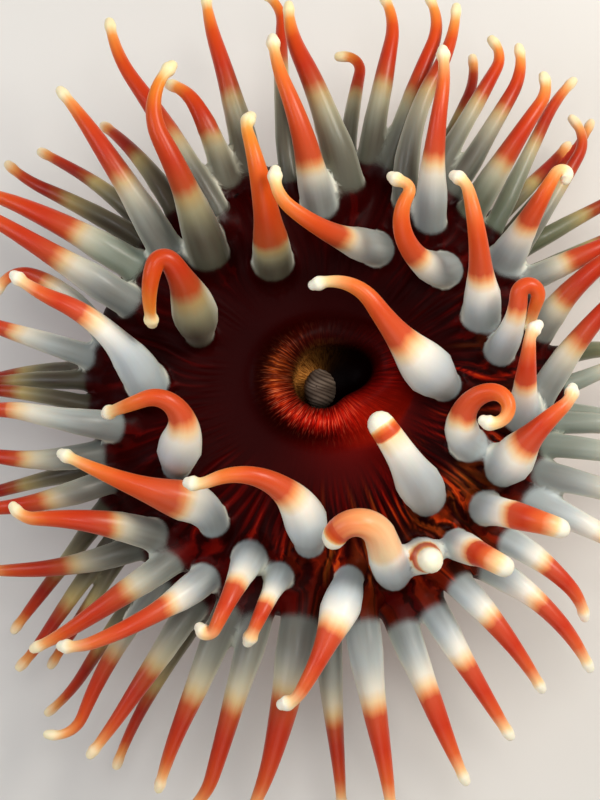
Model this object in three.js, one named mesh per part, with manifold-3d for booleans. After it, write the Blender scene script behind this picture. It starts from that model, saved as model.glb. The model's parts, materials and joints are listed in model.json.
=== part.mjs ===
// Sea anemone: a still, life-size model of a large cold-water anemone of the Urticina kind.
// Millimetres, +Z up. The origin is the centre of the foot's flat underside.
import * as THREE from 'three';
import { mergeVertices } from 'three/addons/utils/BufferGeometryUtils.js';
import Module from 'manifold-3d';

// ---------------------------------------------------------------- driving dimensions
const GAP = 0.3; // left between meshes that meet
const FOOT_RADIUS = 57;
const FOOT_HEIGHT = 5;
const FOOT_EDGE = 1.5; // the rounding of the foot's rim
const FLARE = { radius: 51, z: 12 }; // where the column spreads towards the foot
const WAIST_RADIUS = 49;
const WAIST_Z = 21;
const SHOULDER = { radius: 52, z: 30 };
const COLUMN_TOP_Z = 38;
const COLUMN_TOP_RADIUS = 58;
const DISC_RADIUS = 44; // the naked oral disc, inside the tentacles
const MARGIN_RADIUS = 64; // out to the edge that carries the outer tentacles
const MARGIN_EDGE = { drawIn: 1, rise: 2.4 }; // the rounding under the margin's rim
const BODY_SIDES = 26;
const SECTOR_COUNT = 12;
const SECTOR_TURN_DEG = 8; // where the first sector of the margin starts

const MOUTH = { x: 1, y: 1.5, halfX: 10, halfY: 8.5, wall: 1.3, floorZ: 41, rimZ: 52, clearZ: 62, sides: 16 };
const LIP = { halfX: 14.2, halfY: 12.6, width: 5.6, height: 7.4, centreZ: 55.4, steps: 6 };
// The lengths of the lips, from one angle about the mouth to the other.
const LIP_LENGTHS = [
  { name: 'lip_left', startDeg: 106, endDeg: 204, wider: 0, lower: 0 },
  { name: 'lip_near', startDeg: 210, endDeg: 304, wider: 0, lower: 0 },
  { name: 'lip_right', startDeg: 312, endDeg: 458, wider: 2.4, lower: 1 },
];
const FOLD = { x: -1.6, y: -0.5, halfX: 3.4, halfY: 4.6, halfZ: 7, z: 47.6, leanDeg: 10 };

const SLICE = { past: 5, height: 40 }; // of a sector's cutting block, past the margin all round

const ROOT_DEPTH = 6; // how far a tentacle's root is carried down into the body
const ROOT_SINK = 1.5; // of the path's start below the upper face
const LEAN = { mostDeg: 75, startRadius: 40 }; // roots lean outwards from this radius to the margin
const TIP_RADIUS = 1.8;
const TIP_SHARE = 0.27; // of the girth, for tentacles too thin for TIP_RADIUS
// Places and lengths along a tentacle are shares of its length.
const KNOB = { at: 0.97, length: 0.03, height: 0.25 };
const SWELLING = { at: 0.15, length: 0.16 };
const NECK = { length: 0.07, pinch: 0.22 };
const NECKED = [32, 34, 42, 43, 60, 61, 81, 82, 83, 84, 93]; // narrow at the root, widest further up
const NECKED_SWELLING = { at: 0.27, length: 0.2 };
const NECKED_WAIST = { length: 0.1, pinch: 0.4 };
const BLUNT = [43, 44, 82, 83, 84]; // contracted, so that they end wide
const INNER_LIMB = 0.78; // limb thickness as a share of the swelling, inner tentacles
const OUTER_LIMB = 0.95;
const INNER_TIP_Z = 63; // inner tentacles end above this height
const PATH_STEPS = 24;
const FRAME_STEPS = 40;
const LENGTH_STEPS = 200; // for measuring along a path
// Rings along a tentacle, as shares of FRAME_STEPS, by how far it turns in all.
const RINGS = [
  { turnUnderDeg: 30, rings: [7, 20] },
  { turnUnderDeg: 100, rings: [7, 17, 28] },
  { turnUnderDeg: 170, rings: [6, 14, 22, 30] },
  { turnUnderDeg: Infinity, rings: [6, 12, 17, 21, 25, 29, 33, 37] },
];
const STOUT_GIRTH = 11;
const SIDES = { stout: 6, thin: 5 }; // of tentacles as thick as STOUT_GIRTH, and of the others

// The upper face of the disc and margin, as radius and height.
const CROWN_PROFILE = [
  [18, 53.2],
  [28, 53.8],
  [38, 55.2],
  [44, 55.3],
  [50, 54.8],
  [56, 53],
  [60, 50],
  [63, 46],
  [64, 42],
];
const CROWN_CENTRE_Z = 53;

// One row a tentacle. Its root stands at x, y. Seen from above it runs for `reach` along a path that
// leaves at the heading `leave` and turns by `bend` evenly along its length, and by `curl` between the
// shares `from` and `to` of it (degrees, anticlockwise from +X). `tipZ` is the height of its end, `arch`
// how far its middle is lifted above a straight rise, and `girth` its greatest thickness.
// number, x, y, reach, leave, bend, curl, from, to, tipZ, arch, girth
const TENTACLES = [
  [1, -27, 44, 67, 118, 10, -28, 0.7, 1, 46, 6, 8.5],
  [2, -30, 33, 54, 106, 20, -78, 0.6, 1, 72, 10, 12.5],
  [3, -40.5, 34, 54, 121, 4, 4, 0.7, 1, 62, 8, 10.5],
  [4, -47.5, 39.5, 46, 150, 6, -20, 0.7, 1, 44, 5, 6.5],
  [5, -48.5, 31.5, 54, 150, 8, 8, 0.7, 1, 52, 7, 9.5],
  [6, -49.5, 21, 57, 149, 0, 4, 0.7, 1, 56, 8, 9.5],
  [7, -46.5, 42, 43, 130, 24, -4, 0.7, 1, 32, 2, 6],
  [8, -38.5, 46, 38, 118, 20, 0, 0.7, 1, 34, 4, 7],
  [9, -25.5, 54.8, 33, 105, 22, 30, 0.7, 1, 55, 8, 9.5],
  [10, -19, 57, 53, 103, 6, -12, 0.7, 1, 50, 7, 9],
  [11, -13, 31.5, 38, 96, 12, -55, 0.88, 1, 76, 12, 12],
  [12, 0, 46, 48, 102, 14, -20, 0.7, 1, 66, 9, 11],
  [13, -8, 52.5, 63, 99, -14, 60, 0.8, 1, 36, 5, 6],
  [14, 7.5, 52, 55, 105, 14, -30, 0.7, 1, 56, 8, 11],
  [15, 7, 62.5, 37, 86, -12, 100, 0.74, 0.95, 36, 2, 5.5],
  [16, 13, 60, 50, 82, -6, 40, 0.7, 1, 48, 7, 8],
  [17, 17.5, 58, 55, 73, -8, 50, 0.7, 1, 44, 6, 7],
  [18, 23, 46, 62, 96, -55, 45, 0.65, 1, 50, 7, 7.5],
  [19, 29.5, 42.5, 46, 93, -18, 18, 0.7, 1, 68, 10, 10],
  [20, 30, 55, 49, 62, -2, 70, 0.8, 1, 42, 5, 7],
  [21, 34.5, 52.5, 49, 55, 8, 35, 0.7, 1, 44, 6, 7.5],
  [22, 29.5, 56, 44, 66, 0, 30, 0.7, 1, 28, 1, 5],
  [23, 40, 46, 44.5, 59, -4, 50, 0.8, 1, 56, 8, 9],
  [24, 46, 41, 54, 64, 0, -18, 0.7, 1, 36, 4, 6],
  [25, 52.5, 35, 48.5, 55, 6, 70, 0.75, 1, 38, 3, 6],
  [26, 49.5, 33, 29.5, 62, -2, -175, 0.84, 1, 70, 8, 11.5],
  [27, 45.5, 44.5, 38, 44, 4, 2, 0.7, 1, 26, 1, 6],
  [28, 50, 39.5, 50, 50, 6, 6, 0.7, 1, 20, 1, 6],
  [30, -58, 11, 41, 116, 60, 65, 0.7, 1, 48, 7, 6.5],
  [31, -46, -2, 46.5, 113, 64, -36, 0.7, 1, 72, 10, 12.4],
  [32, -33, 12.5, 37, 92, 70, 115, 0.48, 0.62, 74, 20, 12],
  [33, 16.5, 37, 37, 188, -62, -44, 0.7, 1, 84, 11, 10.5],
  [34, 35, -1.5, 47.5, 148, -34, 85, 0.64, 1, 80, 12, 13],
  [35, 34.5, 31.5, 34, 203, -188, 125, 0.78, 0.9, 80, 12, 10.5],
  [36, 43.3, 17, 37.5, 98, 6, 50, 0.85, 1, 78, 12, 11.3],
  [37, 53.5, 28, 45, 22, 5, -5, 0.7, 1, 46, 6, 8],
  [38, 58, 13, 41, 60, -36, 0, 0.7, 1, 58, 7, 9],
  [39, 47.5, 8, 29.5, 62, 60, -215, 0.48, 0.78, 66, 16, 9],
  [40, 54.5, -9.5, 24, 102, -20, -45, 0.8, 1, 78, 8, 11.5],
  [41, 40.9, -17.1, 34.9, 154, -273, -95, 0.54, 1, 76, 8, 11],
  [42, 47.5, -24.5, 29, 60, -26, 45, 0.8, 1, 70, 10, 13],
  [43, 29, -31.5, 24, 129, -4, 0, 0.7, 1, 84, 8, 13],
  [44, 43, -33, 19, -16, -2, 0, 0.7, 1, 74, 8, 9.8],
  [45, 63, -1, 34, 20, 8, 0, 0.7, 1, 32, 1, 6],
  [46, 63, -6, 38, -3, -8, 0, 0.7, 1, 28, 1, 6],
  [47, 60, -10, 42, 2, -12, 0, 0.7, 1, 40, 5, 7],
  [48, 57.5, -15.7, 46, -4, -14, 0, 0.7, 1, 48, 7, 7.5],
  [49, 56, -23, 48, -14, -4, 0, 0.7, 1, 52, 8, 9],
  [50, 53.5, -28.5, 46, -28, 0, 0, 0.7, 1, 48, 7, 9],
  [51, 52, 37, 48, 30, 0, 0, 0.7, 1, 26, 1, 6],
  [52, 56, 30.5, 44, 27, 0, 0, 0.7, 1, 24, 1, 6],
  [53, 62.5, 8, 38, 20, -35, 0, 0.7, 1, 22, 1, 6],
  [54, 58, -5.5, 47, 64, -26, 0, 0.7, 1, 58, 9, 9],
  [55, -60.5, 7.5, 42, 164, -4, 8, 0.7, 1, 46, 6, 7.5],
  [56, -61.5, 2, 43, 178, 6, 0, 0.7, 1, 32, 3, 6],
  [57, -63, 5, 38, 176, 14, 0, 0.7, 1, 22, 1, 5.5],
  [58, -61, -5.5, 40, 166, 12, 10, 0.7, 1, 40, 4, 5.5],
  [59, -53.5, -11.3, 43, 177, -18, 36, 0.55, 1, 56, 8, 9],
  [60, -39.5, -23.5, 36.5, 74, -20, 140, 0.25, 0.7, 72, 16, 11.5],
  [61, -28.2, -40.5, 48, 92, -14, 76, 0, 0.25, 64, 8, 11.5],
  [62, -58, -17.5, 40, 196, -34, 22, 0.7, 1, 48, 6, 8],
  [63, -60, -21.5, 44, 190, 6, 0, 0.7, 1, 26, 1, 6],
  [64, -55.5, -24.5, 43, 206, -28, 0, 0.7, 1, 50, 7, 8],
  [65, -42, -41.5, 41.5, 160, 26, -60, 0.82, 1, 62, 8, 10],
  [66, -47, -42.5, 47, 202, -26, 4, 0.7, 1, 42, 5, 8],
  [67, -37.5, -45, 48, 216, -4, -8, 0.7, 1, 50, 7, 9],
  [68, -29.5, -50.5, 44, 220, -24, -22, 0.8, 1, 64, 9, 9.5],
  [69, -18.8, -45, 26.5, 245, 0, -110, 0.82, 0.95, 70, 9, 10.4],
  [70, -11, -50, 20, 245, 0, 0, 0.7, 1, 66, 7, 8.5],
  [71, -31.5, -55, 55, 235, 2, -6, 0.7, 1, 44, 4, 8.5],
  [72, -40, -49.5, 62, 227, 26, -85, 0.8, 1, 30, 1, 7],
  [73, -43, -46.5, 57, 231, 8, -20, 0.7, 1, 20, 1, 5.5],
  [74, -52.5, -36, 53, 231, 4, -10, 0.8, 1, 28, 1, 7],
  [75, -56.5, -29.5, 49, 231, 0, 0, 0.7, 1, 24, 1, 6.5],
  [76, -29, -56.5, 57, 233, 12, 4, 0.7, 1, 26, 1, 5.5],
  [77, -22.5, -55.5, 58, 246, 2, 6, 0.7, 1, 44, 5, 10],
  [78, -16, -57.5, 62, 255, -2, -38, 0.8, 1, 46, 6, 9.5],
  [79, -5, -58, 60, 262, -10, -8, 0.7, 1, 48, 6, 12],
  [80, -50.5, -38.5, 47, 236, 0, 0, 0.7, 1, 24, 1, 6],
  [81, 8, -49.5, 40.5, 254, -18, -45, 0.85, 1, 66, 8, 11],
  [82, 19.5, -52, 27, 108, 20, 115, 0.45, 1, 76, 12, 12],
  [83, 26.8, -45.6, 1.2, -60, 0, 0, 0.7, 1, 80, 0, 11.5],
  [84, 35.5, -42.5, 12.5, -28, 0, 0, 0.7, 1, 74, 8, 10],
  [85, 10, -58.5, 58, -83, 5, -4, 0.7, 1, 46, 6, 11],
  [86, 1.5, -61.5, 54, -88, 6, -4, 0.7, 1, 36, 4, 8.5],
  [87, 20.5, -60, 50.5, -72, 7, 0, 0.7, 1, 46, 5, 10],
  [88, 28, -56.5, 44.5, -61, 4, 0, 0.7, 1, 48, 5, 9.5],
  [89, 33.5, -50, 41, -44, -14, 0, 0.7, 1, 50, 6, 9],
  [90, 41, -47, 44, -24, -38, 0, 0.7, 1, 48, 6, 9],
  [91, 47, -40, 34, -26, -28, -22, 0.7, 1, 50, 6, 8.5],
  [93, -3.5, -44.5, 43.5, 84, 140, -60, 0.86, 1, 78, 12, 12],
].map(([number, x, y, reach, leave, bend, curl, from, to, tipZ, arch, girth]) => (
  { number, x, y, reach, leave, bend, curl, from, to, tipZ, arch, girth }
));

// Tentacles that stand free as nodes of their own, and those of them that bend so far that they are
// divided into two lengths. The rest are joined to the sector of the margin they grow from.
const FREE = [2, 3, 11, 12, 14, 19, 26, 36, 40, 42, 43, 44, 61, 65, 68, 69, 70, 81, 82, 83, 84];
const DIVIDED = [31, 32, 33, 34, 35, 39, 41, 60, 93];
const DIVIDE_AT = 0.48;

const COLOURS = {
  column: '#8e1018',
  foot: '#7a1414',
  disc: '#3a0406',
  lips: '#c02008',
  throat: '#8a4a18',
  fold: '#7d6a60',
  tentacle: '#e8592a',
  root: '#d9d6c4',
  margin: '#9a1c10',
};

// ---------------------------------------------------------------- solids
const wasm = await Module();
wasm.setup();
const radians = THREE.MathUtils.degToRad;

/** A closed three.js geometry as a solid that can be joined and cut. */
function solidOf(geometry) {
  const bare = geometry.clone();
  bare.deleteAttribute('normal');
  bare.deleteAttribute('uv');
  const merged = mergeVertices(bare, 1e-4);
  return new wasm.Manifold(
    new wasm.Mesh({
      numProp: 3,
      vertProperties: merged.attributes.position.array,
      triVerts: new Uint32Array(merged.index.array),
    }),
  );
}

/** A named mesh of one solid. */
function meshOf(name, solid, colour, roughness = 0.45) {
  const { vertProperties, triVerts } = solid.getMesh();
  const geometry = new THREE.BufferGeometry();
  geometry.setAttribute('position', new THREE.BufferAttribute(vertProperties, 3));
  geometry.setIndex(new THREE.BufferAttribute(triVerts, 1));
  geometry.computeVertexNormals();
  const material = new THREE.MeshStandardMaterial({ color: colour, roughness, metalness: 0 });
  const mesh = new THREE.Mesh(geometry, material);
  mesh.name = name;
  return mesh;
}

/** A solid turned about +Z from [radius, height] points that run from the bottom up. */
function turned(profile, sides = BODY_SIDES) {
  const points = profile.map(([radius, height]) => new THREE.Vector2(radius, height));
  return solidOf(new THREE.LatheGeometry(points, sides).rotateX(Math.PI / 2));
}

/** A smooth run of [radius, height] points through a few given ones. */
function smoothProfile(points, pieces = 4) {
  const curve = new THREE.SplineCurve(points.map(([radius, height]) => new THREE.Vector2(radius, height)));
  return curve.getPoints(pieces).map((point) => [point.x, point.y]);
}

/** Height of the disc and margin's upper face at a radius. */
function crownHeight(radius) {
  const points = [[0, CROWN_CENTRE_Z], ...CROWN_PROFILE];
  const next = points.findIndex(([edge]) => edge >= radius);
  if (next < 0) return CROWN_PROFILE.at(-1)[1];
  if (next === 0) return CROWN_CENTRE_Z;
  const [r0, z0] = points[next - 1];
  const [r1, z1] = points[next];
  return z0 + ((z1 - z0) * (radius - r0)) / (r1 - r0);
}

// ---------------------------------------------------------------- column and foot
function foot() {
  return turned([
    [0, 0],
    [FOOT_RADIUS - FOOT_EDGE, 0],
    [FOOT_RADIUS, FOOT_EDGE],
    [FOOT_RADIUS - FOOT_EDGE, FOOT_HEIGHT - GAP],
    [0, FOOT_HEIGHT - GAP],
  ]);
}

function columnLower() {
  const side = smoothProfile([
    [FOOT_RADIUS - FOOT_EDGE, FOOT_HEIGHT],
    [FLARE.radius, FLARE.z],
    [WAIST_RADIUS, WAIST_Z],
  ]);
  return turned([[0, FOOT_HEIGHT], ...side, [0, WAIST_Z]]);
}

function columnUpper() {
  const base = WAIST_Z + GAP;
  const side = smoothProfile([
    [WAIST_RADIUS, base],
    [SHOULDER.radius, SHOULDER.z],
    [COLUMN_TOP_RADIUS, COLUMN_TOP_Z],
  ]);
  return turned([[0, base], ...side, [0, COLUMN_TOP_Z]]);
}

// ---------------------------------------------------------------- disc, mouth and lips
/** An upright elliptical plug centred on the mouth. */
function mouthPlug(grow, bottom, top) {
  const plug = new THREE.CylinderGeometry(1, 1, top - bottom, MOUTH.sides).rotateX(Math.PI / 2);
  plug.scale(MOUTH.halfX + grow, MOUTH.halfY + grow, 1);
  plug.translate(MOUTH.x, MOUTH.y, (top + bottom) / 2);
  return solidOf(plug);
}

function oralDisc() {
  const face = CROWN_PROFILE.filter(([radius]) => radius <= DISC_RADIUS);
  const disc = turned([
    [0, COLUMN_TOP_Z + GAP],
    [DISC_RADIUS, COLUMN_TOP_Z + GAP],
    ...face.reverse(),
    [0, CROWN_CENTRE_Z],
  ]);
  return disc.subtract(mouthPlug(0, COLUMN_TOP_Z, MOUTH.clearZ));
}

function throat() {
  const cup = mouthPlug(-GAP, COLUMN_TOP_Z + GAP, MOUTH.rimZ);
  return cup.subtract(mouthPlug(-GAP - MOUTH.wall, MOUTH.floorZ, MOUTH.clearZ));
}

/** The pale ridged fold that leans out of the throat's near wall. */
function throatFold() {
  const fold = new THREE.SphereGeometry(1, 8, 6).scale(FOLD.halfX, FOLD.halfY, FOLD.halfZ);
  fold.rotateY(radians(-FOLD.leanDeg));
  fold.translate(FOLD.x, FOLD.y, FOLD.z);
  const pocket = mouthPlug(-2 * GAP - MOUTH.wall, MOUTH.floorZ + GAP, MOUTH.clearZ);
  return solidOf(fold).intersect(pocket);
}

/** A point of the lips' middle line, at an angle in degrees about the mouth. */
function lipPoint(angleDeg) {
  const angle = radians(angleDeg);
  const x = MOUTH.x + LIP.halfX * Math.cos(angle);
  const y = MOUTH.y + LIP.halfY * Math.sin(angle);
  return new THREE.Vector3(x, y, LIP.centreZ);
}

/** One length of the lips: an oval section carried along part of the mouth's oval. */
function lipLength({ startDeg, endDeg, wider, lower }) {
  const section = new THREE.Shape();
  section.absellipse(0, 0, (LIP.height - lower) / 2, (LIP.width + wider) / 2, 0, Math.PI * 2);
  const { steps } = LIP;
  const crest = Array.from({ length: steps + 1 }, (_, i) => (
    lipPoint(THREE.MathUtils.lerp(startDeg, endDeg, i / steps))
  ));
  const bar = new THREE.ExtrudeGeometry(section, {
    extrudePath: new THREE.CatmullRomCurve3(crest),
    steps,
    curveSegments: 3,
  });
  return solidOf(bar).subtract(crownGround(GAP));
}

// ---------------------------------------------------------------- margin
/** The pie slice of one sector in plan, drawn in or let out by `grow` at its two sides. */
function sectorSlice(index, grow) {
  const width = 360 / SECTOR_COUNT;
  const start = radians(SECTOR_TURN_DEG + index * width);
  const end = start + radians(width);
  const inner = DISC_RADIUS - SLICE.past;
  const outer = MARGIN_RADIUS + SLICE.past;
  const slice = new THREE.Shape();
  const corners = [[inner, start, -grow], [outer, start, -grow], [outer, end, grow], [inner, end, grow]];
  slice.setFromPoints(corners.map(([radius, angle, shift]) => {
    const turnedBy = angle + Math.asin(shift / radius);
    return new THREE.Vector2(radius * Math.cos(turnedBy), radius * Math.sin(turnedBy));
  }));
  const block = new THREE.ExtrudeGeometry(slice, { depth: SLICE.height, bevelEnabled: false });
  return solidOf(block.translate(0, 0, COLUMN_TOP_Z - SLICE.past));
}

/** The whole ring of the margin, let out by `grow`. */
function marginRing(grow) {
  const inner = DISC_RADIUS + GAP - grow;
  const face = CROWN_PROFILE.filter(([radius]) => radius > inner).map(([r, z]) => [r + grow, z + grow]);
  return turned([
    [inner, COLUMN_TOP_Z + GAP - grow],
    [COLUMN_TOP_RADIUS + grow, COLUMN_TOP_Z + GAP - grow],
    [MARGIN_RADIUS - MARGIN_EDGE.drawIn + grow, COLUMN_TOP_Z + MARGIN_EDGE.rise],
    ...face.reverse(),
    [inner, crownHeight(DISC_RADIUS) + grow],
    [inner, COLUMN_TOP_Z + GAP - grow],
  ]);
}

/** Everything under the tentacles, let out by `grow`. It trims the roots of the free ones. */
function crownGround(grow) {
  return turned([
    [0, COLUMN_TOP_Z],
    [MARGIN_RADIUS, COLUMN_TOP_Z],
    ...CROWN_PROFILE.map(([r, z]) => [r + grow, z + grow]).reverse(),
    [0, CROWN_CENTRE_Z + grow],
  ]);
}

// ---------------------------------------------------------------- tentacles
/** Centre line of a tentacle: it leaves the body square to the surface, then follows its headings. */
function tentaclePath(pose) {
  const rootRadius = Math.hypot(pose.x, pose.y);
  const lean = THREE.MathUtils.smoothstep(rootRadius, LEAN.startRadius, MARGIN_RADIUS);
  const tilt = radians(LEAN.mostDeg * lean);
  const outward = Math.sin(tilt) / rootRadius;
  const rootZ = crownHeight(rootRadius) - ROOT_SINK;
  const points = [
    new THREE.Vector3(
      pose.x * (1 - ROOT_DEPTH * outward),
      pose.y * (1 - ROOT_DEPTH * outward),
      rootZ - ROOT_DEPTH * Math.cos(tilt),
    ),
  ];
  let { x, y } = pose;
  for (let i = 0; i <= PATH_STEPS; i += 1) {
    const share = i / PATH_STEPS;
    const z = rootZ + (pose.tipZ - rootZ) * share + 4 * pose.arch * share * (1 - share);
    points.push(new THREE.Vector3(x, y, z));
    const middle = share + 0.5 / PATH_STEPS;
    const curled = THREE.MathUtils.clamp((middle - pose.from) / (pose.to - pose.from), 0, 1);
    const heading = radians(pose.leave + pose.bend * middle + pose.curl * curled);
    x += (Math.cos(heading) * pose.reach) / PATH_STEPS;
    y += (Math.sin(heading) * pose.reach) / PATH_STEPS;
  }
  return new THREE.CatmullRomCurve3(points, false, 'centripetal');
}

/** Radius of a tentacle at a share of its length: a neck, a swelling, a tapered limb and a small knob. */
function tentacleRadius(pose, share) {
  const necked = NECKED.includes(pose.number);
  const blunt = BLUNT.includes(pose.number);
  const swelling = necked ? NECKED_SWELLING : SWELLING;
  const waist = necked ? NECKED_WAIST : NECK;
  const greatest = pose.girth / 2;
  const tip = blunt ? TIP_SHARE * pose.girth : Math.min(TIP_RADIUS, TIP_SHARE * pose.girth);
  const limb = tip + (greatest - tip) * (isInner(pose) && !blunt ? INNER_LIMB : OUTER_LIMB);
  const swollen = greatest - tip - (1 - swelling.at) * (limb - tip);
  const bell = (centre, length) => Math.exp(-(((share - centre) / length) ** 2));
  const body = tip + (limb - tip) * (1 - share) + swollen * bell(swelling.at, swelling.length);
  return body * (1 - waist.pinch * bell(0, waist.length)) + KNOB.height * bell(KNOB.at, KNOB.length);
}

/** Inner tentacles end well above the disc. They have the more bulbous bases. */
function isInner(pose) {
  return pose.tipZ > INNER_TIP_Z;
}

/** A length of a tentacle between two shares of its path, let out by `grow` all round. */
function tentacle(pose, grow = 0, from = 0, to = 1) {
  const path = tentaclePath(pose);
  path.arcLengthDivisions = LENGTH_STEPS;
  const length = path.getLength();
  const frames = path.computeFrenetFrames(FRAME_STEPS, false);
  const rootShare = ROOT_DEPTH / length;
  const turn = Math.abs(pose.bend) + Math.abs(pose.curl);
  const { rings } = RINGS.find(({ turnUnderDeg }) => turn < turnUnderDeg);
  const sides = pose.girth < STOUT_GIRTH ? SIDES.thin : SIDES.stout;
  const clear = 0.5 / FRAME_STEPS;
  const stations = rings.map((ring) => ring / FRAME_STEPS)
    .filter((at) => at > from + clear && at < to - clear);
  const radiusAt = (at) => tentacleRadius(pose, Math.max(0, (at - rootShare) / (1 - rootShare))) + grow;

  const profile = [[0, from * length - grow], [radiusAt(from), from * length - grow]];
  stations.forEach((at) => profile.push([radiusAt(at), at * length]));
  profile.push([radiusAt(to), to * length + (to < 1 ? grow : 0)]);
  if (to === 1) {
    profile.push([0, length + radiusAt(1)]);
  } else {
    profile.push([0, to * length + grow]);
  }

  const points = profile.map(([radius, height]) => new THREE.Vector2(radius, height));
  const geometry = new THREE.LatheGeometry(points, sides);
  const position = geometry.attributes.position;
  for (let i = 0; i < position.count; i += 1) {
    const along = position.getY(i);
    const at = THREE.MathUtils.clamp(along / length, 0, 1);
    const frame = Math.round(at * FRAME_STEPS);
    const place = path.getPointAt(at);
    place.addScaledVector(frames.tangents[frame], along - at * length);
    place.addScaledVector(frames.normals[frame], position.getX(i));
    place.addScaledVector(frames.binormals[frame], -position.getZ(i));
    position.setXYZ(i, place.x, place.y, place.z);
  }
  return solidOf(geometry);
}

// ---------------------------------------------------------------- assembly
const anemone = new THREE.Group();
const taken = []; // solids already placed, let out by the gap

/** Cuts a solid clear of all that is placed already. */
function clearOf(solid) {
  return taken.reduce((rest, other) => (
    rest.intersect(other).isEmpty() ? rest : rest.subtract(other)
  ), solid);
}

anemone.add(meshOf('foot', foot(), COLOURS.foot));
anemone.add(meshOf('column_lower', columnLower(), COLOURS.column));
anemone.add(meshOf('column_upper', columnUpper(), COLOURS.column));
anemone.add(meshOf('oral_disc', oralDisc(), COLOURS.disc));
anemone.add(meshOf('throat', throat(), COLOURS.throat));
anemone.add(meshOf('throat_fold', throatFold(), COLOURS.fold));
LIP_LENGTHS.forEach((length) => anemone.add(meshOf(length.name, lipLength(length), COLOURS.lips)));

const ground = crownGround(GAP);
const bareGround = crownGround(0);
TENTACLES.filter(({ number }) => FREE.includes(number) || DIVIDED.includes(number)).forEach((pose) => {
  const name = `tentacle_${String(pose.number).padStart(2, '0')}`;
  if (DIVIDED.includes(pose.number)) {
    const half = GAP / 2 / tentaclePath(pose).getLength();
    const root = tentacle(pose, 0, 0, DIVIDE_AT - half).subtract(ground);
    const limb = tentacle(pose, 0, DIVIDE_AT + half, 1);
    anemone.add(meshOf(`${name}_root`, clearOf(root), COLOURS.root));
    anemone.add(meshOf(`${name}_limb`, clearOf(limb), COLOURS.tentacle));
  } else {
    anemone.add(meshOf(name, clearOf(tentacle(pose).subtract(ground)), COLOURS.tentacle));
  }
  taken.push(tentacle(pose, GAP).subtract(bareGround));
});

for (let sector = 0; sector < SECTOR_COUNT; sector += 1) {
  const width = 360 / SECTOR_COUNT;
  const members = TENTACLES.filter(({ number, x, y }) => {
    const angle = THREE.MathUtils.radToDeg(Math.atan2(y, x)) - SECTOR_TURN_DEG;
    const own = Math.floor(THREE.MathUtils.euclideanModulo(angle, 360) / width);
    return own === sector && !FREE.includes(number) && !DIVIDED.includes(number);
  });
  const slice = marginRing(0).intersect(sectorSlice(sector, -GAP / 2));
  const joined = members.reduce((whole, pose) => whole.add(tentacle(pose)), slice);
  const name = `margin_${String(sector + 1).padStart(2, '0')}`;
  anemone.add(meshOf(name, clearOf(joined), COLOURS.margin));
  taken.push(marginRing(GAP).intersect(sectorSlice(sector, GAP / 2)));
  members.forEach((pose) => taken.push(tentacle(pose, GAP)));
}

export default anemone;
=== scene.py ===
"""Sea anemone: a still, life-size model of a large cold-water anemone of the Urticina kind.

One continuous skin covers the foot, column, oral disc, mouth and the whole crown of tentacles.
The frame is the solid model's: metres, +Z up, origin at the centre of the foot's underside.
Lengths are written in millimetres here and turned to metres when a mesh is made.
"""

from __future__ import annotations

import json
import logging
import math
from dataclasses import dataclass, field
from enum import Enum
from functools import partial

import bpy
import numpy as np
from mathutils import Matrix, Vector

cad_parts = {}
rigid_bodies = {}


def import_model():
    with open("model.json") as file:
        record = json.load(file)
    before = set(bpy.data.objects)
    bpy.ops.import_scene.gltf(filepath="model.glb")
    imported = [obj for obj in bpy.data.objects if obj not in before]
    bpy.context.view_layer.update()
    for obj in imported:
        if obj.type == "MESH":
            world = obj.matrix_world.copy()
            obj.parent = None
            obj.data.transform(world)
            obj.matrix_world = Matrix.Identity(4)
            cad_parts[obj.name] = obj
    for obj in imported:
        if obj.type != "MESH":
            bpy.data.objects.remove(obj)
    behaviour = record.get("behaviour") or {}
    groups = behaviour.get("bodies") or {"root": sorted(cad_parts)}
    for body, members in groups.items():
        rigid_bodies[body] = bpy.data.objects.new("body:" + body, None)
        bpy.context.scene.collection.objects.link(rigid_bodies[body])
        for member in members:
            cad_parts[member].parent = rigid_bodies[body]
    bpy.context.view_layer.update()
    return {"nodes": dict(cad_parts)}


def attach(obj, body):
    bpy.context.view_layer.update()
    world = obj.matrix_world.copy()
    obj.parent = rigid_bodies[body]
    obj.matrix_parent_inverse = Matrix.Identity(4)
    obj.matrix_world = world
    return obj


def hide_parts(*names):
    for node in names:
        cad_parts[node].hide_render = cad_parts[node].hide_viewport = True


LOG = logging.getLogger("sea_anemone")
MM = 0.001
TURN = 2.0 * np.pi

# Driving dimensions, shared with the solid model.
MARGIN_RADIUS = 64.0
ROOT_DEPTH = 6.0
ROOT_SINK = 1.5
LEAN_DEG = 75.0
LEAN_START = 40.0
TIP_SHARE = 0.27
INNER_TIP_Z = 63.0
MOUTH_CENTRE = (1.0, 1.5)

# The upper face of the disc and margin, as radius and height.
CROWN_FACE = (
    (0.0, 53.0), (18.0, 53.2), (28.0, 53.8), (38.0, 55.2), (44.0, 55.3),
    (50.0, 54.8), (56.0, 53.0), (60.0, 50.0), (63.0, 46.0), (64.0, 42.0),
)

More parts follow.
